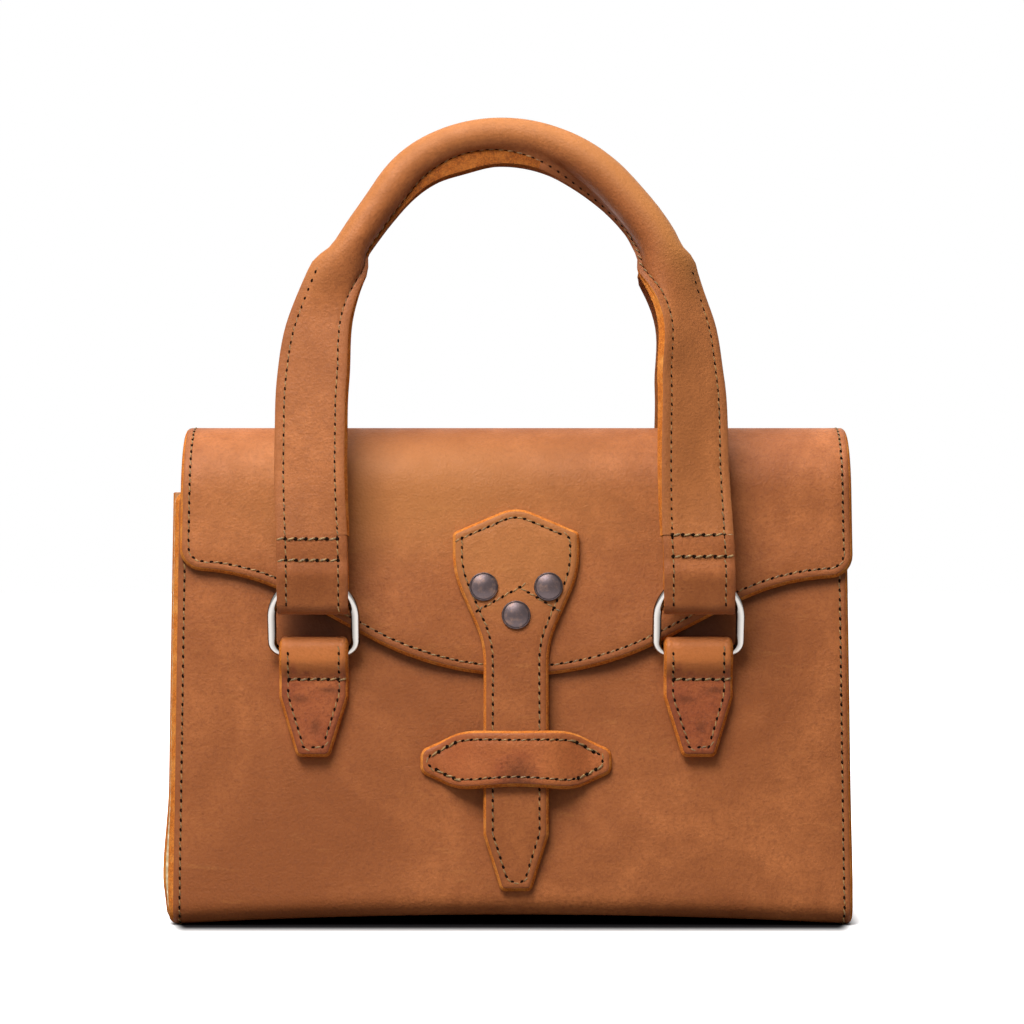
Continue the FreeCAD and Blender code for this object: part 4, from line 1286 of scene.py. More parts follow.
def paint_node(node, material):
    """Give a solid that stays in view its material."""
    slots = frame["nodes"][node].data.materials
    slots.clear()
    slots.append(material)


def keeper_rise(x):
    """Height of the keeper's underside over the panel, across the closure strap."""
    away = np.abs(x)
    rise = KEEPER_BRIDGE * (1.0 - smoothstep(KEEPER_CROWN, KEEPER_CROWN + KEEPER_RAMP, away))
    return rise + KEEPER_BOW * (1.0 - smoothstep(0.0, KEEPER_CROWN + KEEPER_RAMP / 2, away))


def on_keeper(x, up, height):
    """Place on the keeper, which bridges the closure strap between its sewn ends."""
    across = np.asarray(x) - FLAP_MIDDLE
    nudge = 0.2
    slope = (keeper_rise(across + nudge) - keeper_rise(across - nudge)) / (2 * nudge)
    size = np.sqrt(1.0 + slope**2)
    return rest_panels(on_panel(x - slope / size * height, up, keeper_rise(across) + height / size))


def keeper_pieces():
    """Keeper and its backing, with heavy stitches on its four slanted corners."""
    middle = along_panel(KEEPER_MIDDLE)
    half = [
        (0.0, middle + KEEPER_TALL_HALF - 0.4, 90.0),
        (KEEPER_FULL, middle + KEEPER_TALL_HALF, 26.0),
        (KEEPER_HALF, middle + KEEPER_END_HALF, 4.5),
        (KEEPER_HALF, middle - KEEPER_END_HALF, 4.5),
        (KEEPER_FULL, middle - KEEPER_TALL_HALF, 26.0),
        (0.0, middle - KEEPER_TALL_HALF + 1.5, 90.0),
    ]
    cut = Cut([(x + FLAP_MIDDLE, up, radius) for x, up, radius in mirrored(half)])
    top = KEEPER_CLOTH + KEEPER_LEATHER

    def rubbed(flat):
        across = (flat[:, 0] - FLAP_MIDDLE - 1.0) / 6.5
        along = (flat[:, 1] - middle + 7.0) / 7.5
        mark = np.exp(-(across**2) - along**2)
        return KEEPER_RUB * mark - KEEPER_FADE * (1.0 - smoothstep(0.0, 0.3, mark))

    keeper = sheet("keeper_leather", cut, on_keeper, KEEPER_CLOTH, top,
                   hide(burnished_leather()), seam=SEAM_INSET, step=2.5, stain_and_shade=rubbed)
    finish_piece(keeper, "bag", "burnished_leather", "strap_keeper")
    backing = sheet("keeper_cloth", cut.inset(CUT_BACK["keeper"]), on_keeper, LAYER_GAP,
                    KEEPER_CLOTH - LAYER_GAP, [lining_cotton()] * 3, step=3.0)
    finish_piece(backing, "bag", "lining", "strap_keeper_backing")
    height = top - SEAM_DENT / 2
    hem(seams, "bag", cut, on_keeper, height)
    low = KEEPER_FULL + 1.0
    high = KEEPER_HALF - 7.0
    hem(bar_tacks, "bag", cut, on_keeper, height + 0.3,
        keep=lambda x, up: (np.abs(x - FLAP_MIDDLE) > low) & (np.abs(x - FLAP_MIDDLE) < high))


def tab_line():
    """Inner face of a ring tab in (out, up): up its front leaf, over the bar and down its back leaf."""
    bar_up = along_panel(TAB_BAR_HEIGHT)
    tip = bar_up + BAR_OUT + TAB_SLACK - TAB_LENGTH
    radius = TAB_HOLE + TAB_ROOM / 2
    points = []
    for up in np.arange(tip, bar_up, 2.0):
        parted = smoothstep(bar_up - TAB_CLOSE, bar_up - 3.0, up)
        points.append(np.array((TAB_LEATHER + 2 * radius * parted, up)))
    front = TAB_LEATHER + 2 * radius
    points += straight((front, bar_up), (front, bar_up + TAB_SLACK), 1.0)
    points += bend((TAB_LEATHER + radius, bar_up + TAB_SLACK), radius, 0.0, math.pi, 10)
    points += straight((TAB_LEATHER, bar_up + TAB_SLACK), (TAB_LEATHER, tip), 3.0)
    return Line(points + [np.array((TAB_LEATHER, tip))], -1)


def tab_pieces():
    """Folded leather tabs that hold the rings' bars."""
    line = tab_line()
    taper = TAB_LENGTH - TAB_TAPER
    end = line.length
    corners = [(-TAB_TIP_HALF, 0.0), (TAB_TIP_HALF, 0.0), (TAB_HALF, taper), (TAB_HALF, end - taper),
               (TAB_TIP_HALF, end), (-TAB_TIP_HALF, end), (-TAB_HALF, end - taper), (-TAB_HALF, taper)]
    hides = hide(burnished_leather())
    bar_at = TAB_LENGTH - BAR_OUT - TAB_SLACK
    for face, sign in FACES:
        for side, middle in SIDES:

            def place(x, along, height, sign=sign):
                spot = line.at(along, height)
                return rest_panels(on_panel(x, spot[:, 1], spot[:, 0])) * (1.0, sign, 1.0)

            def rubbed(flat, middle=middle):
                across, up = flat[:, 0] - middle, flat[:, 1]
                fold = smoothstep(bar_at - TAB_CLOSE, bar_at - 4.0, up)
                marks = sum(np.exp(-(((across - a) / wide) ** 2) - ((up - bar_at + b) / tall) ** 2)
                            for a, b, wide, tall in TAB_MARKS)
                # Real dark marks, slightly darker leaves, and a painted highlight on the fold, which faces
                # the overhead light
                return TAB_RUB * marks + TAB_SHADE * (1.0 - fold) - TAB_FOLD_HIGHLIGHT * fold

            cut = Cut([(x + middle, along, TAB_CORNER) for x, along in corners])
            tab = sheet(f"{face}_{side}_tab_leather", cut, place, 0.0, TAB_LEATHER, hides, seam=SEAM_INSET,
                        step=1.2, stain_and_shade=rubbed)
            finish_piece(tab, "bag", "burnished_leather", f"{face}_{side}_ring_tab")
            top = TAB_LEATHER - SEAM_DENT / 2
            hem(seams, "bag", cut, place, top, keep=lambda x, along: along < bar_at + 1.0)
            reach = TAB_HALF - 4.5
            row = [(x + middle, bar_at - TAB_CLOSE + 0.5) for x in np.linspace(-reach, reach, 12)]
            sew(bar_tacks, "bag", [seam_run(row, place, top + SEAM_DENT / 2)])


def ring_path():
    """Middle of the wire in the ring's own plane (across, up), from the bar's middle round the bow."""
    half = RING_HALF
    corner = RING_CORNER
    points = straight((0.0, 0.0), (half - corner, 0.0), 2.0)
    points += bend((half - corner, corner), corner, -math.pi / 2, 0.0, 8)
    points += straight((half, corner), (half, RING_LEG), 2.0)
    points += bend((0.0, RING_LEG), half, 0.0, math.pi, 40)
    points += straight((-half, RING_LEG), (-half, corner), 2.0)
    points += bend((corner - half, corner), corner, math.pi, 1.5 * math.pi, 8)
    points += straight((corner - half, 0.0), (0.0, 0.0), 2.0)
    return np.array(points)


def ring_pieces():
    """Steel rings with a straight bar in the tab and a round bow in the handle's loop."""
    path = ring_path()
    count = len(path)
    along = unit(np.roll(path, -1, axis=0) - np.roll(path, 1, axis=0))
    outward = np.column_stack([along[:, 1], -along[:, 0]])
    rise = unit(LOOP - BAR)
    lift = np.array((-rise[1], rise[0]))
    sides = 18
    turns = np.linspace(0.0, 2 * math.pi, sides, endpoint=False)
    # Painted shade on the wire's sides, in the ring's plane
    wire_side_shade = np.tile(0.12 + 0.85 * np.abs(np.cos(turns + 0.4)) ** 1.3, count)
    rows = []
    for turn in turns:
        flat = path + outward * WIRE_RADIUS * math.cos(turn)
        spot = BAR + flat[:, 1:] * rise + lift * WIRE_RADIUS * math.sin(turn)
        rows.append(np.column_stack([flat[:, 0], spot]))
    points = np.array(rows).transpose(1, 0, 2).reshape(-1, 3)
    faces = []
    for i in range(count):
        for j in range(sides):
            i2, j2 = (i + 1) % count, (j + 1) % sides
            faces.append((i * sides + j, i2 * sides + j, i2 * sides + j2, i * sides + j2))
    for face, sign in FACES:
        for side, middle in SIDES:
            name = f"{face}_{side}_ring"
            ring = make_piece(name + "_steel", (points + (middle, 0.0, 0.0)) * (1.0, sign, 1.0), faces,
                              [0] * len(faces), [polished_steel()], {"wire_side_shade": wire_side_shade}, crease=180.0)
            finish_piece(ring, name, "steel", name)


# Handles


class Arch:
    """Line of the front handle in its own leaning plane, from its right knee over the top to its left one."""

    def __init__(self):
        ring_lean = math.atan2(*(LOOP - BAR))
        self.loop_lean = ring_lean + LOOP_TURN
        self.knee = LOOP + LOOP_KNEE * np.array((math.sin(self.loop_lean), math.cos(self.loop_lean)))
        self.lean = math.atan2(-ARCH_DEPTH - self.knee[0], ARCH_HEIGHT - self.knee[1])
        turn = math.radians(ARCH_SIDE_TURN)
        side_radius = (LEG_HALF - ARCH_RADIUS * math.cos(turn)) / (1.0 - math.cos(turn))
        apex = (ARCH_HEIGHT - self.knee[1]) / math.cos(self.lean)
        start = apex - ARCH_RADIUS - (side_radius - ARCH_RADIUS) * math.sin(turn)
        rows = [(LEG_HALF, up, 0.0) for up in np.linspace(KNEE_RISE, start, 18, endpoint=False)]
        for bent in np.linspace(0.0, ARCH_SIDE_TURN, 27, endpoint=False):
            angle = math.radians(bent)
            rows.append((LEG_HALF - side_radius + side_radius * math.cos(angle),
                         start + side_radius * math.sin(angle), bent))
        for bent in np.linspace(ARCH_SIDE_TURN, 90.0, 26):
            angle = math.radians(bent)
            rows.append((ARCH_RADIUS * math.cos(angle),
                         apex - ARCH_RADIUS + ARCH_RADIUS * math.sin(angle), bent))
        right = np.array(rows)
        left = right[-2::-1] * (-1.0, 1.0, 1.0)
        self.rows = np.vstack([right, left])
        self.sign = np.concatenate([np.ones(len(right)), -np.ones(len(left))])
        steps = np.hypot(*np.diff(self.rows[:, :2], axis=0).T)
        stops = np.concatenate([[0.0], np.cumsum(steps)])
        self.share = 1.0 - 2.0 * stops / stops[-1]

    def place(self, across, deep, up):
        """Points from the handle's plane: across, depth towards the back and height above the knee."""
        y = self.knee[0] + up * math.sin(self.lean) + deep * math.cos(self.lean)
        z = self.knee[1] + up * math.cos(self.lean) - deep * math.sin(self.lean)
        return np.column_stack([across + HANDLE_SHIFT, y, z])


def strap_columns(half):
    """Places across a strap's face and their heights: rounded edges and a dent at each seam line."""
    seam = half - SEAM_INSET
    edge = [half, half - 0.6, seam + SEAM_SHOULDER, seam, seam - SEAM_SHOULDER]
    drop = [-EDGE_ROUND, 0.0, 0.0, -SEAM_DENT, 0.0]
    inner = np.linspace(-edge[-1], edge[-1], 9)[1:-1]
    across = np.concatenate([-np.array(edge), inner, np.array(edge)[::-1]])
    return across, np.array(drop + [0.0] * len(inner) + drop[::-1])


SEAM_COLUMNS = (3, 13)
COLUMNS = 17


def flat_section(half):
    """Outline of two strap leaves in (out, back): front face, outer edge, back face and inner edge."""
    across, drop = strap_columns(half)
    thick = STRAP_LEATHER
    front = np.column_stack([across, -(thick + drop)])
    back = np.column_stack([across, thick + drop])[::-1]
    bulge = half + EDGE_BULGE
    outer = np.array([(bulge, -thick / 2), (half - EDGE_PARTING, 0.0), (bulge, thick / 2)])
    section = np.vstack([front, outer, back, outer[::-1] * (-1.0, 1.0)])
    deep = (section[:, 1] + thick) / (2 * thick)
    section[:, 0] -= STRAP_FLARE * deep * smoothstep(half - SEAM_INSET, half - 1.0, -section[:, 0])
    return section


def roll_section(fin, stitch_share):
    """Outline of the rolled grip with its raw seam, with the same points as the flat section."""
    radius = ROLL_RADIUS
    tip = radius + fin
    stitched = radius - 0.6 + fin * stitch_share
    front = [(-tip, -FIN_HALF), (-tip + (tip - stitched) * 0.2, -FIN_HALF - 0.1),
             (-stitched - (tip - stitched) * 0.3, -FIN_HALF - 0.15), (-stitched, -FIN_HALF)]
    front += [(-radius * math.cos(turn), -radius * math.sin(turn))
              for turn in np.radians(np.linspace(22.0, 172.0, COLUMNS - len(front)))]
    front = np.array(front)
    back = (front * (1.0, -1.0))[::-1]
    close = math.radians(4.0)
    outer = [(radius * math.cos(close), -radius * math.sin(close)), (radius, 0.0),
             (radius * math.cos(close), radius * math.sin(close))]
    bulge = -tip - EDGE_BULGE
    inner = [(bulge, FIN_HALF / 2), (-tip + EDGE_PARTING, 0.0), (bulge, -FIN_HALF / 2)]
    return np.vstack([front, outer, back, inner])


def grip_section(bent, roll, fin, stitch_share, fullness):
    """Section at a turn of the handle: flat strap, then a neck that drops to the roll at its shoulders."""
    half = STRAP_HALF + (NECK_HALF - STRAP_HALF) * float(smoothstep(4.0, NECK_TURN, bent))
    section = flat_section(half) * (1.0 - roll) + roll_section(fin, stitch_share) * roll
    inner = half + STRAP_FLARE
    widths = (
        half + (ROLL_RADIUS - half) * float(smoothstep(*OUTER_SHOULDER, bent)),
        inner + (ROLL_RADIUS + fin - inner) * float(smoothstep(*INNER_SHOULDER, bent)),
    )
    reach = (section[:, 0].max(), -section[:, 0].min())
    section[:, 0] *= np.where(section[:, 0] > 0, widths[0] / reach[0], widths[1] / reach[1])
    return section * (1.0 + (fullness - 1.0) * roll)


def along_handle(arch, values):
    """Values given at shares of the handle, read at each of its rows and evened out."""
    read = np.interp(arch.share, list(values), list(values.values()))
    return np.convolve(np.pad(read, 3, mode="edge"), np.full(7, 1 / 7), mode="valid")


def grip_rows(arch, front):
    """Sections along the handle from knee to knee, their outward directions and how far each is rolled."""
    fins = along_handle(arch, FIN_DEPTHS) * (1.0 if front else BACK_FIN_SHARE)
    rolled = smoothstep(*ROLL_TURNS, arch.rows[:, 2])
    fields = [along_handle(arch, values) for values in (SEAM_TURNS, STITCH_SHARES, ROLL_FULLNESS)]
    rows = zip(arch.rows, arch.sign, fields[0], rolled, fins, *fields[1:])
    points = []
    normals = []
    for (across, up, bent), sign, turn, roll, fin, stitch_share, fullness in rows:
        section = grip_section(bent, roll, fin, stitch_share, fullness)
        along = np.roll(section, -1, axis=0) - np.roll(section, 1, axis=0)
        facing = unit(np.column_stack([along[:, 1], -along[:, 0]]))
        spin = math.radians(turn)
        mix = np.array(((math.cos(spin), -math.sin(spin)), (math.sin(spin), math.cos(spin))))
        out = np.array((sign * math.cos(math.radians(bent)), math.sin(math.radians(bent))))
        base, tips = [arch.place(across + spot[:, 0] * out[0], spot[:, 1], up + spot[:, 0] * out[1])
                      for spot in (section @ mix.T, (section + facing) @ mix.T)]
        points.append(base)
        normals.append(unit(tips - base))
    return np.array(points), np.array(normals), rolled


def sway(points, front):
    """Lean a handle to the left and bulge its flanks; the back one also spreads, behind the front one."""
    x, y, z = points.T
    lean = -LEG_LEAN * (smoothstep(*LEAN_IN, z) - smoothstep(*LEAN_END, z))
    lean = lean - TOP_LEAN * smoothstep(*TOP_LEAN_IN, z)
    away = np.clip((x - HANDLE_SHIFT) / LEG_HALF, -1.0, 1.0)
    bulge = np.where(x < HANDLE_SHIFT, *FLANK_BULGES) * np.sign(away) * smoothstep(0.2, 0.6, np.abs(away))
    lean = lean + bulge * (smoothstep(*BULGE_IN, z) - smoothstep(*BULGE_END, z))
    if not front:
        lean = lean + BACK_SPREAD * away * smoothstep(*SPREAD_IN, z) - 1.0
    return np.column_stack([x + lean, y, z])


def loop_line(arch):
    """Inner face of a handle loop in (depth, height): down its front, round the ring's bow, up its back."""
    lean = arch.loop_lean
    first = arch.knee + KNEE_RISE * np.array((math.sin(arch.lean), math.cos(arch.lean)))

    def spot(deep, up):
        return LOOP + np.array((up * math.sin(lean) + deep * math.cos(lean),
                                up * math.cos(lean) - deep * math.sin(lean)))

    def leaf(side):
        ups = np.arange(12.0, -LOOP_LOW, -1.5)
        return [spot(side * LOOP_GAP * (1.0 - smoothstep(*LOOP_CLOSE, up)), up) for up in ups]

    front, back = leaf(-1.0), leaf(1.0)
    knee = []
    for share in np.linspace(0.0, 1.0, 6, endpoint=False):
        knee.append([(1 - share) ** 2 * first + 2 * share * (1 - share) * arch.knee + share**2 * leaf_top
                     for leaf_top in (front[0], back[0])])
    fold = [spot(-LOOP_GAP * math.cos(turn), -LOOP_LOW - LOOP_GAP * math.sin(turn))
            for turn in np.linspace(0.0, math.pi, 13)]
    return [pair[0] for pair in knee] + front + fold + back[::-1] + [pair[1] for pair in knee[::-1]]


def loop_rows(arch, sign):
    """Outer and inner faces and edge middles of a loop, row by row."""
    path = np.array(loop_line(arch))
    line = Line(path, 1)
    plane = np.array((-math.cos(arch.lean), math.sin(arch.lean)))
    off = -line.off
    if off[0] @ plane < 0:
        off = -off
    off[0], off[-1] = plane, -plane
    across, drop = strap_columns(STRAP_HALF)
    bulge = STRAP_HALF + EDGE_BULGE
    rows = []
    for spot, way in zip(path, off):
        outer = [(a, *(spot + way * (STRAP_LEATHER + d))) for a, d in zip(across, drop)]
        shy = np.where(np.abs(across) > STRAP_HALF - 0.1, np.sign(across) * EDGE_PARTING, 0.0)
        inner = [(a - s, *spot) for a, s in zip(across, shy)]
        middles = [(side * bulge, *(spot + way * STRAP_LEATHER / 2)) for side in (-1.0, 1.0)]
        row = np.array(outer + inner + middles)
        row[:, 0] = HANDLE_SHIFT + sign * (LEG_HALF + row[:, 0])
        rows.append(row)
    return np.array(rows), off


def roll_painted_light(grip, arch, rolled):
    """Painted light on the rolled grip: a painted highlight on its outer side, towards the lights, and
    painted shade on its inner side.
    """
    reach = np.hypot(grip[..., 0] - HANDLE_SHIFT, grip[..., 2] - ARCH_HEIGHT + ARCH_RADIUS)
    outer = reach - reach.mean(axis=1, keepdims=True)
    outer = outer / np.abs(outer).max(axis=1, keepdims=True) * rolled[:, None]
    # Strength of the painted highlight along the grip
    fade = np.interp(arch.share, (-0.3, 0.3), ROLL_HIGHLIGHT)[:, None]
    fade_and_highlight = fade * smoothstep(-0.4, 0.8, outer)
    stain_and_shade = ROLL_SHADE * smoothstep(0.15, 0.9, -outer)
    return list(fade_and_highlight.ravel()), list(stain_and_shade.ravel())


def handle_pieces():
    """Both handles: straps folded round the rings, necks and rolled grips with their raw seam."""
    arch = Arch()
    hides = hide(tan_leather()) + [shaded_cut_edge()]
    for face, flip in FACES:
        name = face + "_handle"
        front = flip > 0
        grip, facing, rolled = grip_rows(arch, front)
        points = list(grip.reshape(-1, 3))
        faces, face_slots = grip_faces(grip, arch)
        wear = list(grip_wear(rolled))
        fade_and_highlight, stain_and_shade = roll_painted_light(grip, arch, rolled)
        loops = {}
        for sign in (1.0, -1.0):
            rows, off = loop_rows(arch, sign)
            loops[sign] = (rows, off)
            more, more_slots = loop_faces(rows, len(points))
            points += list(rows.reshape(-1, 3))
            wear += list(np.tile(loop_wear(), len(rows)))
            blank = [0.0] * (len(rows) * rows.shape[1])
            fade_and_highlight += blank
            stain_and_shade += blank
            faces += more
            face_slots += more_slots
        points = sway(np.array(points), front) * (1.0, flip, 1.0)
        strap = make_piece(name + "_leather", points, faces, face_slots, hides,
                           {"wear": wear, "fade_and_highlight": fade_and_highlight, "stain_and_shade": stain_and_shade})
        finish_piece(strap, name, "tan_leather", name + "_strap", name + "_left_backing",
                     name + "_right_backing")
        rope = rope_piece(name + "_rope", arch, front)
        finish_piece(rope, name, "rope", name + "_core")
        handle_seams(name, grip, facing, arch, loops, front)


def rope_piece(name, arch, front):
    """Rope core inside a rolled grip."""
    sides = 16
    rows = []
    for (across, up, bent), sign in zip(arch.rows, arch.sign):
        if bent < ROLL_TURNS[1]:
            continue
        turn = np.linspace(0.0, 2 * math.pi, sides, endpoint=False)
        out = ROPE_RADIUS * np.cos(turn)
        angle = math.radians(bent)
        rows.append(arch.place(across + out * sign * math.cos(angle), ROPE_RADIUS * np.sin(turn),
                               up + out * math.sin(angle)))
    last = (len(rows) - 1) * sides
    faces = [tuple(range(sides)), tuple(range(last, last + sides))]
    for first in range(0, last, sides):
        for j in range(sides):
            k = (j + 1) % sides
            faces.append((first + j, first + k, first + sides + k, first + sides + j))
    points = sway(np.vstack(rows), front) * (1.0, 1.0 if front else -1.0, 1.0)
    return make_piece(name, points, faces, [0] * len(faces), [rope_cotton()])


def grip_faces(grip, arch):
    """Faces of the handle: raw on its inner edge, on its outer one up to the neck and on the left fin."""
    rows, count = grip.shape[:2]
    outer_band = range(COLUMNS - 1, COLUMNS + 3)
    inner_band = range(2 * COLUMNS + 2, count)
    fin_front = range(0, SEAM_COLUMNS[0])
    bent = arch.rows[:, 2]
    faces = []
    face_slots = []
    for row in range(rows - 1):
        for column in range(count):
            following = (column + 1) % count
            faces.append((row * count + column, row * count + following,
                          (row + 1) * count + following, (row + 1) * count + column))
            rolled = bent[row] > INNER_SHOULDER[1]
            frayed = column in fin_front and rolled and arch.share[row] < 0.1
            cut = column in outer_band and bent[row] < OUTER_SHOULDER[0] + 1.0
            raw = 3 if rolled else 1
            face_slots.append(raw if column in inner_band or cut or frayed else 0)
    return faces, face_slots


def strap_wear():
    """Wear across a strap's face, from edge to edge."""
    return edge_rub(STRAP_HALF - np.abs(strap_columns(STRAP_HALF)[0]))


def grip_wear(rolled):
    """Rubbed edges of the flat straps, which fade out along the grip."""
    face = strap_wear()
    section = np.concatenate([face, np.ones(3), face[::-1], np.ones(3)])
    return (section[None, :] * (1.0 - 0.8 * rolled[:, None])).reshape(-1)


def loop_wear():
    """Rubbed edges of a loop, on its outer face only."""
    return np.concatenate([strap_wear(), np.zeros(COLUMNS), np.ones(2)])


def loop_faces(rows, first):
    """Faces of a loop: grain outside, flesh inside and raw edges."""
    count = rows.shape[1]
    edges = ((0, COLUMNS, 2 * COLUMNS), (COLUMNS - 1, 2 * COLUMNS - 1, 2 * COLUMNS + 1))
    faces = []
    face_slots = []
    for row in range(len(rows) - 1):
        near = first + row * count
        far = near + count
        for column in range(COLUMNS - 1):
            faces.append((near + column, near + column + 1, far + column + 1, far + column))
            inner = COLUMNS + column
            faces.append((near + inner + 1, near + inner, far + inner, far + inner + 1))
            face_slots += [0, 2]
        for outer, inner, middle in edges:
            faces.append((near + outer, near + middle, far + middle, far + outer))
            faces.append((near + middle, near + inner, far + inner, far + middle))
            face_slots += [1, 1]
    return faces, face_slots


def handle_seams(name, grip, facing, arch, loops, front):
    """Leave a handle's seams for the stitching: its straps' edges, the grip's seam and bar tacks."""
    turned = np.array((1.0, 1.0 if front else -1.0, 1.0))

    def leave(store, points, ways):
        sew(store, name, [(sway(points, front) * turned, ways * turned)])

    bent = arch.rows[:, 2]
    half = len(bent) // 2 + 1
    flat = bent < OUTER_SHOULDER[0]
    leaf_rows = len(loops[1.0][0]) // 2 - 6
    inner, outer = SEAM_COLUMNS
    last = 2 * COLUMNS + 2
    grids = {}
    for sign in (1.0, -1.0):
        rows, off = loops[sign]
        ways = np.repeat(np.column_stack([np.zeros(len(off)), off])[:, None, :], COLUMNS, axis=1)
        grids[sign, "front"] = (rows[leaf_rows:0:-1, :COLUMNS], ways[leaf_rows:0:-1])
        grids[sign, "back"] = (rows[-leaf_rows - 1:-1, :COLUMNS], ways[-leaf_rows - 1:-1])
    legs = {1.0: slice(0, half), -1.0: slice(len(bent) - 1, half - 2, -1)}
    for side, columns in (("front", {inner: inner, outer: outer}),
                          ("back", {inner: last - inner, outer: last - outer})):
        whole = {}
        for sign in (1.0, -1.0):
            low, low_ways = grids[sign, side]
            for column, ring in columns.items():
                leg = grip[legs[sign], ring]
                ways = facing[legs[sign], ring]
                if column == outer:
                    keep = flat[legs[sign]]
                    leg, ways = leg[keep], ways[keep]
                run = np.vstack([low[:, column], leg]), np.vstack([low_ways[:, column], ways])
                if column == outer:
                    leave(seams, *run)
                else:
                    whole[sign] = run
        joined = [np.vstack([whole[1.0][i], whole[-1.0][i][-2::-1]]) for i in (0, 1)]
        leave(seams, *joined)
        for sign, heights in TACK_HEIGHTS.items():
            low, low_ways = grids[sign, side]
            rings = slice(0, COLUMNS) if side == "front" else slice(2 * COLUMNS + 2, COLUMNS + 2, -1)
            stack = np.vstack([low, grip[legs[sign]][:10, rings]])
            ways = np.vstack([low_ways, facing[legs[sign]][:10, rings]])
            for height in heights:
                row = int(np.argmin(np.abs(stack[:, COLUMNS // 2, 2] - height)))
                run = stack[row, inner:outer + 1], ways[row, inner:outer + 1]
                leave(bar_tacks, run[0] + run[1] * 0.2, run[1])


# Repeated pieces made by geometry nodes


def new_tree(name, inputs):
    """Geometry node tree with named inputs after its geometry."""
    old = bpy.data.node_groups.get(name)
    if old:
        bpy.data.node_groups.remove(old)
    tree = bpy.data.node_groups.new(name, "GeometryNodeTree")
    tree.interface.new_socket("Geometry", in_out="INPUT", socket_type="NodeSocketGeometry")
    for label, kind in inputs:
        tree.interface.new_socket(label, in_out="INPUT", socket_type=kind)
    tree.interface.new_socket("Geometry", in_out="OUTPUT", socket_type="NodeSocketGeometry")
    return tree, add(tree, "NodeGroupInput").outputs


def stitch_tree():
    """Stitches along seam lines: an oval of thread over each pitch and a dark oval of painted shade for the
    needle hole between two threads.
    """
    real, material = "NodeSocketFloat", "NodeSocketMaterial"
    tree, given = new_tree("stitches_along_seams", (
        ("Pitch", real), ("Thread Length", real), ("Thread Width", real), ("Thread Height", real),
        ("Hole Length", real), ("Hole Width", real), ("Slant", real),
        ("Thread", material), ("Hole", material)))
    seam = add(tree, "GeometryNodeMeshToCurve", inputs={"Mesh": given["Geometry"]})
    lay = add(tree, "GeometryNodeInputNamedAttribute", {"data_type": "FLOAT_VECTOR"}, {"Name": "lay"})
    tangent = add(tree, "GeometryNodeInputTangent")
    facing = add(tree, "FunctionNodeAxesToRotation", {"primary_axis": "Z", "secondary_axis": "X"}, {
        "Primary Axis": lay.outputs[0], "Secondary Axis": tangent.outputs[0]})
    stray = add(tree, "FunctionNodeRandomValue", {"data_type": "FLOAT"}, {
        2: -STITCH_STRAY, 3: STITCH_STRAY, "Seed": STITCH_SEED})
    twist = add(tree, "ShaderNodeCombineXYZ", inputs={"Z": stray.outputs[1]})
    spin = add(tree, "FunctionNodeEulerToRotation", inputs={0: twist.outputs[0]})
    turned = add(tree, "FunctionNodeRotateRotation", {"rotation_space": "LOCAL"}, {
        "Rotation": facing.outputs[0], "Rotate By": spin.outputs[0]})
    half = add(tree, "ShaderNodeMath", {"operation": "MULTIPLY"}, {0: given["Pitch"], 1: 0.5})
    between = add(tree, "ShaderNodeCombineXYZ", inputs={"X": half.outputs[0]})
    slanted = add(tree, "ShaderNodeCombineXYZ", inputs={"Z": given["Slant"]})
    spaced = add(tree, "GeometryNodeResampleCurve", {"mode": "LENGTH"}, {
        "Curve": seam.outputs[0], "Length": given["Pitch"]})
    oval = add(tree, "GeometryNodeMeshUVSphere", inputs={"Segments": 8, "Rings": 5, "Radius": 0.5})
    smooth = add(tree, "GeometryNodeSetShadeSmooth", inputs={"Geometry": oval.outputs[0]})
    parts = []
    for finish, shift in (("Thread", between.outputs[0]), ("Hole", (0.0, 0.0, 0.0))):
        low = add(tree, "ShaderNodeMath", {"operation": "MULTIPLY"}, {
            0: given["Thread Height"], 1: 1.0 if finish == "Thread" else 0.75})
        scale = add(tree, "ShaderNodeCombineXYZ", inputs={
            "X": given[finish + " Length"], "Y": given[finish + " Width"], "Z": low.outputs[0]})
        shaped = add(tree, "GeometryNodeTransform", inputs={
            "Geometry": smooth.outputs[0], "Translation": shift, "Rotation": slanted.outputs[0],
            "Scale": scale.outputs[0]})
        laid = add(tree, "GeometryNodeInstanceOnPoints", inputs={
            "Points": spaced.outputs[0], "Instance": shaped.outputs[0], "Rotation": turned.outputs[0]})
        real_mesh = add(tree, "GeometryNodeRealizeInstances", inputs={"Geometry": laid.outputs[0]})
        painted = add(tree, "GeometryNodeSetMaterial", inputs={
            "Geometry": real_mesh.outputs[0], "Material": given[finish]})
        parts.append(painted.outputs[0])
    joined = add(tree, "GeometryNodeJoinGeometry")
    for part in parts[::-1]:
        tree.links.new(part, joined.inputs[0])
    add(tree, "NodeGroupOutput", inputs={"Geometry": joined.outputs[0]})
    return tree


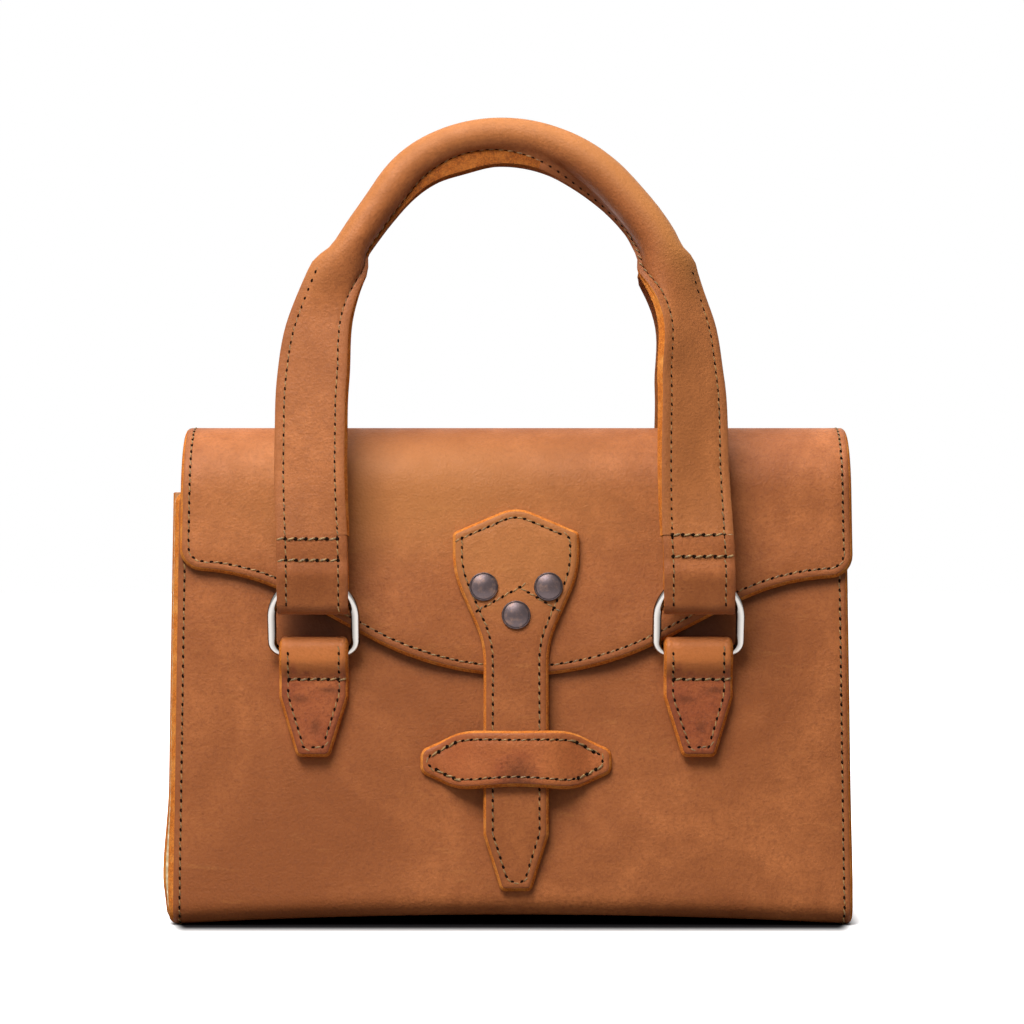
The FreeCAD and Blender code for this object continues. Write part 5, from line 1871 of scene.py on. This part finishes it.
def rivet_tree():
    """Rivet caps set on points, facing along the points' lay."""
    tree, given = new_tree("rivet_caps_on_points", (
        ("Cap", "NodeSocketObject"), ("Plating", "NodeSocketMaterial")))
    lay = add(tree, "GeometryNodeInputNamedAttribute", {"data_type": "FLOAT_VECTOR"}, {"Name": "lay"})
    facing = add(tree, "FunctionNodeAxesToRotation", {"primary_axis": "Z", "secondary_axis": "X"}, {
        "Primary Axis": lay.outputs[0], "Secondary Axis": (1.0, 0.0, 0.0)})
    cap = add(tree, "GeometryNodeObjectInfo", inputs={"Object": given["Cap"]})
    laid = add(tree, "GeometryNodeInstanceOnPoints", inputs={
        "Points": given["Geometry"], "Instance": cap.outputs["Geometry"], "Rotation": facing.outputs[0]})
    real_mesh = add(tree, "GeometryNodeRealizeInstances", inputs={"Geometry": laid.outputs[0]})
    painted = add(tree, "GeometryNodeSetMaterial", inputs={
        "Geometry": real_mesh.outputs[0], "Material": given["Plating"]})
    add(tree, "NodeGroupOutput", inputs={"Geometry": painted.outputs[0]})
    return tree


def grow(name, runs, tree, values):
    """Run a tree on lines of points with their lay, and keep the result as a plain mesh."""
    points = np.vstack([run[0] for run in runs]) * MM
    lay = np.vstack([run[1] for run in runs])
    edges = []
    first = 0
    for run in runs:
        edges += [(first + i, first + i + 1) for i in range(len(run[0]) - 1)]
        first += len(run[0])
    guide = bpy.data.meshes.new(name + "_guide")
    guide.from_pydata(points.tolist(), edges, [])
    lays = guide.attributes.new("lay", "FLOAT_VECTOR", "POINT")
    lays.data.foreach_set("vector", lay.astype(np.float32).ravel())
    piece = new_object(name, guide)
    modifier = piece.modifiers.new("grow", "NODES")
    modifier.node_group = tree
    sockets = {item.name: item.identifier for item in tree.interface.items_tree if item.in_out == "INPUT"}
    for label, value in values.items():
        modifier[sockets[label]] = value
    graph = bpy.context.evaluated_depsgraph_get()
    mesh = bpy.data.meshes.new_from_object(piece.evaluated_get(graph))
    piece.modifiers.clear()
    piece.data = mesh
    mesh.name = name
    if not mesh.polygons:
        raise RuntimeError(f"{name} came out empty")
    return piece


def rivet_caps(seats, facing):
    """Three domed caps with a rolled rim."""
    sides = 40
    crown = RIVET_HEIGHT
    rim = RIVET_RADIUS
    profile = [(0.0, crown)]
    profile += [(rim * 0.9 * share, crown * (0.4 + 0.6 * (1.0 - share**2)))
                for share in np.linspace(0.12, 0.97, 12)]
    profile += [(rim * wide, crown * tall) for wide, tall in RIVET_RIM] + [(rim, -0.2)]
    points = [(0.0, 0.0, crown)]
    faces = []
    for radius, height in profile[1:]:
        for turn in np.linspace(0.0, 2 * math.pi, sides, endpoint=False):
            points.append((radius * math.cos(turn), radius * math.sin(turn), height))
    for j in range(sides):
        faces.append((0, 1 + j, 1 + (j + 1) % sides))
    for i in range(len(profile) - 2):
        for j in range(sides):
            a, b = 1 + i * sides + j, 1 + i * sides + (j + 1) % sides
            faces.append((a, a + sides, b + sides, b))
    last = 1 + (len(profile) - 2) * sides
    faces.append(tuple(range(last, last + sides))[::-1])
    plating = antique_plating()
    cap = make_piece("rivet_cap", points, faces, [0] * len(faces), [plating], crease=60.0)
    values = {"Cap": cap, "Plating": plating}
    caps = grow("closure_rivet_caps", [(seats, facing)], rivet_tree(), values)
    bpy.data.objects.remove(cap)
    return caps


def stitch_pieces():
    """Stitches and bar tacks of every piece that left a seam."""
    tree = stitch_tree()
    pitch = sizes().stitch_pitch
    width = sizes().thread_width
    fine = {"Pitch": pitch, "Thread Length": pitch * 0.72, "Thread Width": width,
            "Thread Height": width * 0.8, "Hole Length": pitch * 0.44, "Hole Width": sizes().hole_width,
            "Slant": math.radians(14.0), "Thread": waxed_thread(), "Hole": needle_hole_shade()}
    heavy = dict(fine)
    heavy.update({"Pitch": pitch * 0.98, "Thread Length": pitch * 0.9, "Thread Width": width * 1.5,
                  "Thread Height": width * 1.2, "Hole Length": pitch * 0.46, "Hole Width": width * 2.4,
                  "Slant": math.radians(16.0)})
    for store, kind, values in ((seams, "stitches", fine), (bar_tacks, "bar_tacks", heavy)):
        for carrier, runs in store.items():
            piece = grow(f"{carrier}_{kind}", runs, tree, values)
            if carrier == "flap":
                across_hinge(piece)
            else:
                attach(piece, "flap" if carrier == "closure" else carrier)


# Stage


def area_light(name, spot, size, watts):
    """Soft box that faces the middle of the bag."""
    lamp = bpy.data.lights.new(name, "AREA")
    lamp.shape = "RECTANGLE"
    lamp.size, lamp.size_y = size
    lamp.energy = watts
    thing = new_object(name, lamp)
    thing.location = spot
    thing.rotation_mode = "QUATERNION"
    thing.rotation_quaternion = (Vector(LIGHT_TARGET) - Vector(spot)).to_track_quat("-Z", "Y")


def build_world():
    """Soft light from all round, brighter overhead, behind a backdrop that is seen as white."""
    world = bpy.data.worlds.new("studio")
    bpy.context.scene.world = world
    world.use_nodes = True
    tree = world.node_tree
    tree.nodes.clear()
    way = add(tree, "ShaderNodeSeparateXYZ", inputs={0: add(tree, "ShaderNodeTexCoord").outputs["Generated"]})
    overhead = add(tree, "ShaderNodeMapRange", inputs={
        "Value": way.outputs["Z"], "From Min": -0.1, "From Max": 0.9, "To Min": 0.04, "To Max": 0.32})
    soft = add(tree, "ShaderNodeBackground", inputs={"Strength": overhead.outputs[0]})
    white = add(tree, "ShaderNodeBackground", inputs={"Color": (1.0, 1.0, 1.0, 1.0), "Strength": 1.0})
    mixed = add(tree, "ShaderNodeMixShader", inputs={
        0: seen_directly(tree), 1: soft.outputs[0], 2: white.outputs[0]})
    add(tree, "ShaderNodeOutputWorld", inputs={"Surface": mixed.outputs[0]})


def build_stage():
    """Camera at the photograph's angle, white paper floor, lights and backdrop."""
    scene = bpy.context.scene
    scene.view_settings.view_transform = "Standard"
    camera = new_object("camera", bpy.data.cameras.new("camera"))
    camera.location = CAMERA_SPOT
    camera.rotation_euler = (math.pi / 2, 0.0, 0.0)
    camera.data.sensor_fit = "HORIZONTAL"
    camera.data.angle = CAMERA_ANGLE
    scene.camera = camera
    corners = [(x * FLOOR_REACH, y * FLOOR_REACH, 0.0) for x, y in ((-1, -1), (1, -1), (1, 1), (-1, 1))]
    paper = bpy.data.meshes.new("floor")
    paper.from_pydata(corners, [], [(0, 1, 2, 3)])
    paper.materials.append(white_paper())
    new_object("floor", paper)
    for name, light in LIGHTS.items():
        area_light(name, *light)
    build_world()


# Operators, panel and registration


class BAG_OT_body(bpy.types.Operator):
    """Wrap, lining and gussets of the body"""

    bl_idname = "bag.body"
    bl_label = "Body"
    bl_options = {"REGISTER", "UNDO"}

    def execute(self, context):
        body_pieces()
        return {"FINISHED"}


class BAG_OT_flap(bpy.types.Operator):
    """Flap leather and lining with the strip sewn to the back"""

    bl_idname = "bag.flap"
    bl_label = "Flap"
    bl_options = {"REGISTER", "UNDO"}

    def execute(self, context):
        flap_pieces()
        return {"FINISHED"}


class BAG_OT_closure(bpy.types.Operator):
    """Closure strap, its backing and its rivets"""

    bl_idname = "bag.closure"
    bl_label = "Closure strap"
    bl_options = {"REGISTER", "UNDO"}

    def execute(self, context):
        closure_pieces()
        return {"FINISHED"}


class BAG_OT_keeper(bpy.types.Operator):
    """Keeper that holds the closure strap"""

    bl_idname = "bag.keeper"
    bl_label = "Keeper"
    bl_options = {"REGISTER", "UNDO"}

    def execute(self, context):
        keeper_pieces()
        return {"FINISHED"}


class BAG_OT_tabs(bpy.types.Operator):
    """Folded tabs that hold the rings"""

    bl_idname = "bag.tabs"
    bl_label = "Ring tabs"
    bl_options = {"REGISTER", "UNDO"}

    def execute(self, context):
        tab_pieces()
        return {"FINISHED"}


class BAG_OT_rings(bpy.types.Operator):
    """Steel rings between the tabs and the handles"""

    bl_idname = "bag.rings"
    bl_label = "Rings"
    bl_options = {"REGISTER", "UNDO"}

    def execute(self, context):
        ring_pieces()
        return {"FINISHED"}


class BAG_OT_handles(bpy.types.Operator):
    """Handle straps, necks and rolled grips"""

    bl_idname = "bag.handles"
    bl_label = "Handles"
    bl_options = {"REGISTER", "UNDO"}

    def execute(self, context):
        handle_pieces()
        return {"FINISHED"}


class BAG_OT_stitches(bpy.types.Operator):
    """Stitches and bar tacks of the seams that the pieces left"""

    bl_idname = "bag.stitches"
    bl_label = "Stitching"
    bl_options = {"REGISTER", "UNDO"}

    def execute(self, context):
        stitch_pieces()
        return {"FINISHED"}


class BAG_OT_stage(bpy.types.Operator):
    """Camera, floor, lights and backdrop"""

    bl_idname = "bag.stage"
    bl_label = "Stage"
    bl_options = {"REGISTER", "UNDO"}

    def execute(self, context):
        build_stage()
        return {"FINISHED"}


STEPS = (
    BAG_OT_body, BAG_OT_flap, BAG_OT_closure, BAG_OT_keeper, BAG_OT_tabs, BAG_OT_rings, BAG_OT_handles,
    BAG_OT_stitches, BAG_OT_stage,
)


class BAG_PT_panel(bpy.types.Panel):
    """Sizes, colours and building steps of the bag"""

    bl_idname = "BAG_PT_panel"
    bl_label = "Top handle bag"
    bl_space_type = "VIEW_3D"
    bl_region_type = "UI"
    bl_category = "Bag"

    def draw(self, context):
        for group in (context.scene.bag_sizes, context.scene.bag_colours):
            column = self.layout.column()
            for name in group.__annotations__:
                column.prop(group, name)
        for step in STEPS:
            self.layout.operator(step.bl_idname)


CLASSES = (BagSizes, BagColours) + STEPS + (BAG_PT_panel,)


def register():
    for item in CLASSES:
        bpy.utils.register_class(item)
    bpy.types.Scene.bag_sizes = bpy.props.PointerProperty(type=BagSizes)
    bpy.types.Scene.bag_colours = bpy.props.PointerProperty(type=BagColours)


def unregister():
    del bpy.types.Scene.bag_colours
    del bpy.types.Scene.bag_sizes
    for item in reversed(CLASSES):
        bpy.utils.unregister_class(item)


def main():
    """Register the add-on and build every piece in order."""
    register()
    for step in STEPS:
        getattr(bpy.ops.bag, step.bl_idname.split(".")[1])()


if __name__ == "__main__":
    main()
